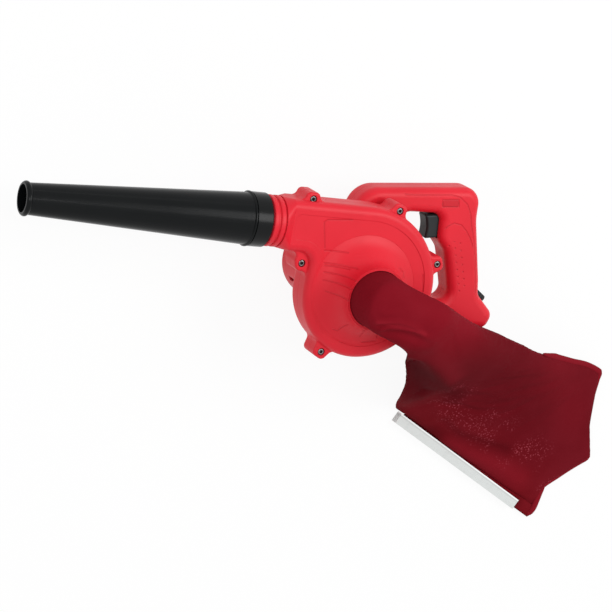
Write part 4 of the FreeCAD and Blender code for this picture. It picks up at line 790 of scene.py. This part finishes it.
def evenly(path, step):
    dense = []
    for i in range(len(path) - 1):
        rows = [[path[max(i - 1, 0)]], [path[i]], [path[i + 1]], [path[min(i + 2, len(path) - 1)]]]
        dense += [blended(rows, 1, k / 12)[0] for k in range(12)]
    dense.append(path[-1])
    spots = [dense[0]]
    left = step
    for a, b in zip(dense, dense[1:]):
        run = (b - a).length
        while run >= left:
            a = a.lerp(b, left / run)
            run = (b - a).length
            spots.append(a)
            left = step
        left -= run
    return spots


def ways(spots):
    return [(spots[min(i + 1, len(spots) - 1)] - spots[max(i - 1, 0)]).normalized() for i in range(len(spots))]


def swept(name, path, width, thick, around, wave=0.0, taper=6):
    # oval tube along a path, drawn in over the last rings at both ends
    spots = []
    faces = []
    for i, (spot, way) in enumerate(zip(path, ways(path))):
        side = way.cross(Vector((0, 0, 1))).normalized()
        up = side.cross(way)
        end = min(i, len(path) - 1 - i, taper) / taper
        size = math.sqrt(max(end, sweep["least"]))
        shift = noise.noise(spot * sweep["ripple"]) * wave
        for k in range(around):
            angle = 2 * math.pi * k / around
            spots.append((spot + side * (width * size * math.cos(angle) + shift)
                          + up * (thick * size * math.sin(angle) + 0.5 * shift)) * mm)
    for i in range(len(path) - 1):
        for k in range(around):
            faces.append((i * around + k, i * around + (k + 1) % around,
                          (i + 1) * around + (k + 1) % around, (i + 1) * around + k))
    faces.append(tuple(range(around))[::-1])
    faces.append(tuple((len(path) - 1) * around + k for k in range(around)))
    return meshFrom(name, spots, faces)


def makeStitches(name, path):
    # short raised threads along a path, lying on the bag's top
    tree = BVHTree.FromObject(clothBag, bpy.context.evaluated_depsgraph_get())
    spots = []
    faces = []
    way = ways(path)
    rings, around = stitch["rings"], stitch["around"]
    stride = stitch["length"] + stitch["gap"]
    number = int((len(path) - 1) * hem["step"] / stride)
    for i in range(number):
        at = min(int(i * stride / hem["step"]), len(path) - 2)
        side = way[at].cross(Vector((0, 0, 1))).normalized()
        middle = path[at] - side * stitch["inset"]
        ground = tree.ray_cast(Vector((middle.x, middle.y, 400)) * mm, Vector((0, 0, -1)))
        if ground[0] is None:
            continue
        base = ground[0] / mm
        start = len(spots)
        for j in range(rings):
            along = (j / (rings - 1) - 0.5) * stitch["length"]
            size = stitch["radius"] * (0.25 + 0.75 * math.sin(math.pi * (j + 0.5) / rings))
            for k in range(around):
                angle = 2 * math.pi * k / around
                spots.append((base + way[at] * along + side * (size * math.cos(angle))
                              + ground[1] * (size * math.sin(angle) + stitch["lift"])) * mm)
        for j in range(rings - 1):
            for k in range(around):
                a = start + j * around
                b = a + around
                faces.append((a + k, a + (k + 1) % around, b + (k + 1) % around, b + k))
        faces.append(tuple(start + k for k in range(around))[::-1])
        faces.append(tuple(start + (rings - 1) * around + k for k in range(around)))
    return meshFrom(name, spots, faces)


def makeRailEdge(name, strip):
    path = evenly([byRail(along, aside, bag["railLevel"]) for along, aside in strip["ends"]], railEdge["step"])
    return swept(name, path, strip["width"], strip["thick"], strip["around"], taper=1)


hemLine = evenly(hemPath, hem["step"])
clothPieces = [
    (swept("bagHem", hemLine, hem["width"], hem["thick"], hem["around"], hem["wave"], hem["taper"]), "hem"),
    (makeRailEdge("railTongue", railEdge["tongue"]), "cloth"),
    (makeRailEdge("railBead", railEdge["bead"]), "cloth"),
    (makeStitches("hemStitches", hemLine), "thread"),
]
for piece, finish in clothPieces:
    wear(piece, finish)
    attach(piece, "bag")
print("hem and stitches:", len(hemLine), "rings")


# Bright pan heads on the dark screws of the cover

screwHead = {"around": 28, "apart": 0.008,
             "profile": [(3.25, 0.02), (3.3, 0.3), (3.1, 0.65), (2.6, 0.95), (2.1, 1.05), (1.75, 1.0),
                         (1.6, 0.8), (1.55, 0.4), (1.5, 0.02)]}


def screwTops(thing):
    # middle and top of each screw of the node, from its points
    groups = []
    for vertex in thing.data.vertices:
        spot = thing.matrix_world @ vertex.co
        for group in groups:
            if (group[0].xy - spot.xy).length < screwHead["apart"]:
                group.append(spot)
                break
        else:
            groups.append([spot])
    tops = []
    for group in groups:
        xs, ys, zs = zip(*group)
        tops.append(Vector(((min(xs) + max(xs)) / 2, (min(ys) + max(ys)) / 2, max(zs))))
    return tops


def makeScrewHeads(name, thing):
    spots = []
    faces = []
    around, profile = screwHead["around"], screwHead["profile"]
    for top in screwTops(thing):
        start = len(spots)
        for radius, rise in profile:
            for k in range(around):
                angle = 2 * math.pi * k / around
                spots.append(top + Vector((radius * math.cos(angle), radius * math.sin(angle), rise)) * mm)
        for i in range(len(profile)):
            for k in range(around):
                a, b = i * around, (i + 1) % len(profile) * around
                faces.append((start + a + k, start + a + (k + 1) % around,
                              start + b + (k + 1) % around, start + b + k))
    return meshFrom(name, spots, faces)


panHeads = makeScrewHeads("coverScrewHeads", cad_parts["cover_screws"])
wear(panHeads, "screwRim")
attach(panHeads, "housing")
print("screw heads:", len(panHeads.data.vertices) // (screwHead["around"] * len(screwHead["profile"])))


# Floor, backdrop and lamps

floorLook = {"reach": 8, "level": -0.0004, "low": (0.90, 0.90, 0.90), "high": (0.92, 0.92, 0.92), "glow": 0.92}


def makeFloor():
    far, level = floorLook["reach"], floorLook["level"]
    corners = [Vector((x, y, level)) for x, y in ((-far, -far), (far, -far), (far, far), (-far, far))]
    floor = meshFrom("floor", corners, [(0, 1, 2, 3)], False)
    shade = Shade("paleFloor")
    place = shade.place()
    mottle = shade.grain(place, 3.0, 2.0)
    colour = shade.toned(mottle, tint(*floorLook["low"]), tint(*floorLook["high"]))
    plain = shade.add("ShaderNodeBsdfDiffuse", inputs={"Color": colour})
    seen = shade.outputs("ShaderNodeLightPath", ("Is Camera Ray", "Is Glossy Ray", "Is Transmission Ray"))
    lit = shade.add("ShaderNodeEmission", inputs={"Color": tint(1, 1, 1), "Strength": 1.0})
    share = seen[0].high(seen[1]).high(seen[2]) * floorLook["glow"]
    surface = shade.add("ShaderNodeMixShader", inputs={0: share, 1: plain, 2: lit})
    shade.add("ShaderNodeOutputMaterial", inputs={"Surface": surface})
    floor.data.materials.append(shade.owner)


makeFloor()

light = {"world": 0.62, "background": 1.0}


def makeWorld():
    shade = Shade("studio", bpy.data.worlds)
    rays = shade.outputs("ShaderNodeLightPath", ("Is Camera Ray", "Is Glossy Ray", "Is Transmission Ray"))
    soft = shade.add("ShaderNodeBackground", inputs={"Color": tint(1, 1, 1), "Strength": light["world"]})
    seen = shade.add("ShaderNodeBackground", inputs={"Color": tint(1, 1, 1), "Strength": light["background"]})
    shown = rays[0].high(rays[1]).high(rays[2])
    surface = shade.add("ShaderNodeMixShader", inputs={0: shown, 1: soft, 2: seen})
    shade.add("ShaderNodeOutputWorld", inputs={"Surface": surface})
    bpy.context.scene.world = shade.owner


makeWorld()

view = {"place": (-1.00265, 0.46956, 1.99587), "right": (0.89726, 0.17956, 0.40335),
        "up": (-0.06432, 0.95698, -0.28295), "back": (-0.43680, 0.22794, 0.87020), "lens": 129.41,
        "sensor": 36.0, "farthest": 50.0}


def makeCamera():
    camera = bpy.data.cameras.new("camera")
    camera.lens = view["lens"]
    camera.sensor_width = view["sensor"]
    camera.clip_end = view["farthest"]
    thing = bpy.data.objects.new("camera", camera)
    turn = Matrix((view["right"], view["up"], view["back"])).transposed()
    thing.matrix_world = Matrix.Translation(view["place"]) @ turn.to_4x4()
    bpy.context.scene.collection.objects.link(thing)
    bpy.context.scene.camera = thing


makeCamera()

# way: shares of the camera's right, up and back; far: metres from the middle of the part
lamps = {
    "key": {"way": (1.0, 0.1, 0.7), "far": 2.4, "size": 1.2, "wide": 1.2, "power": 25.0},
    "above": {"way": (0.0, 1.0, 0.45), "far": 2.2, "size": 0.16, "wide": 2.6, "power": 1.5},
    "strip": {"way": (0.0, 0.02, 1.0), "far": 2.2, "size": 0.16, "wide": 2.6, "power": 12.0},
}


lampsMiddle = (0.02, -0.03, 0.08)


def makeLamps():
    middle = Vector(lampsMiddle)
    right, up, back = (Vector(view[key]) for key in ("right", "up", "back"))
    for name, lamp in lamps.items():
        a, b, c = lamp["way"]
        way = (right * a + up * b + back * c).normalized()
        area = bpy.data.lights.new(name, "AREA")
        area.shape = "RECTANGLE"
        area.size = lamp["wide"]
        area.size_y = lamp["size"]
        area.energy = lamp["power"]
        thing = bpy.data.objects.new(name, area)
        thing.location = middle + way * lamp["far"]
        side = (right - way * right.dot(way)).normalized()
        thing.rotation_euler = Matrix((side, way.cross(side), way)).transposed().to_euler()
        bpy.context.scene.collection.objects.link(thing)


makeLamps()

scene = bpy.context.scene
scene.view_settings.view_transform = "Standard"
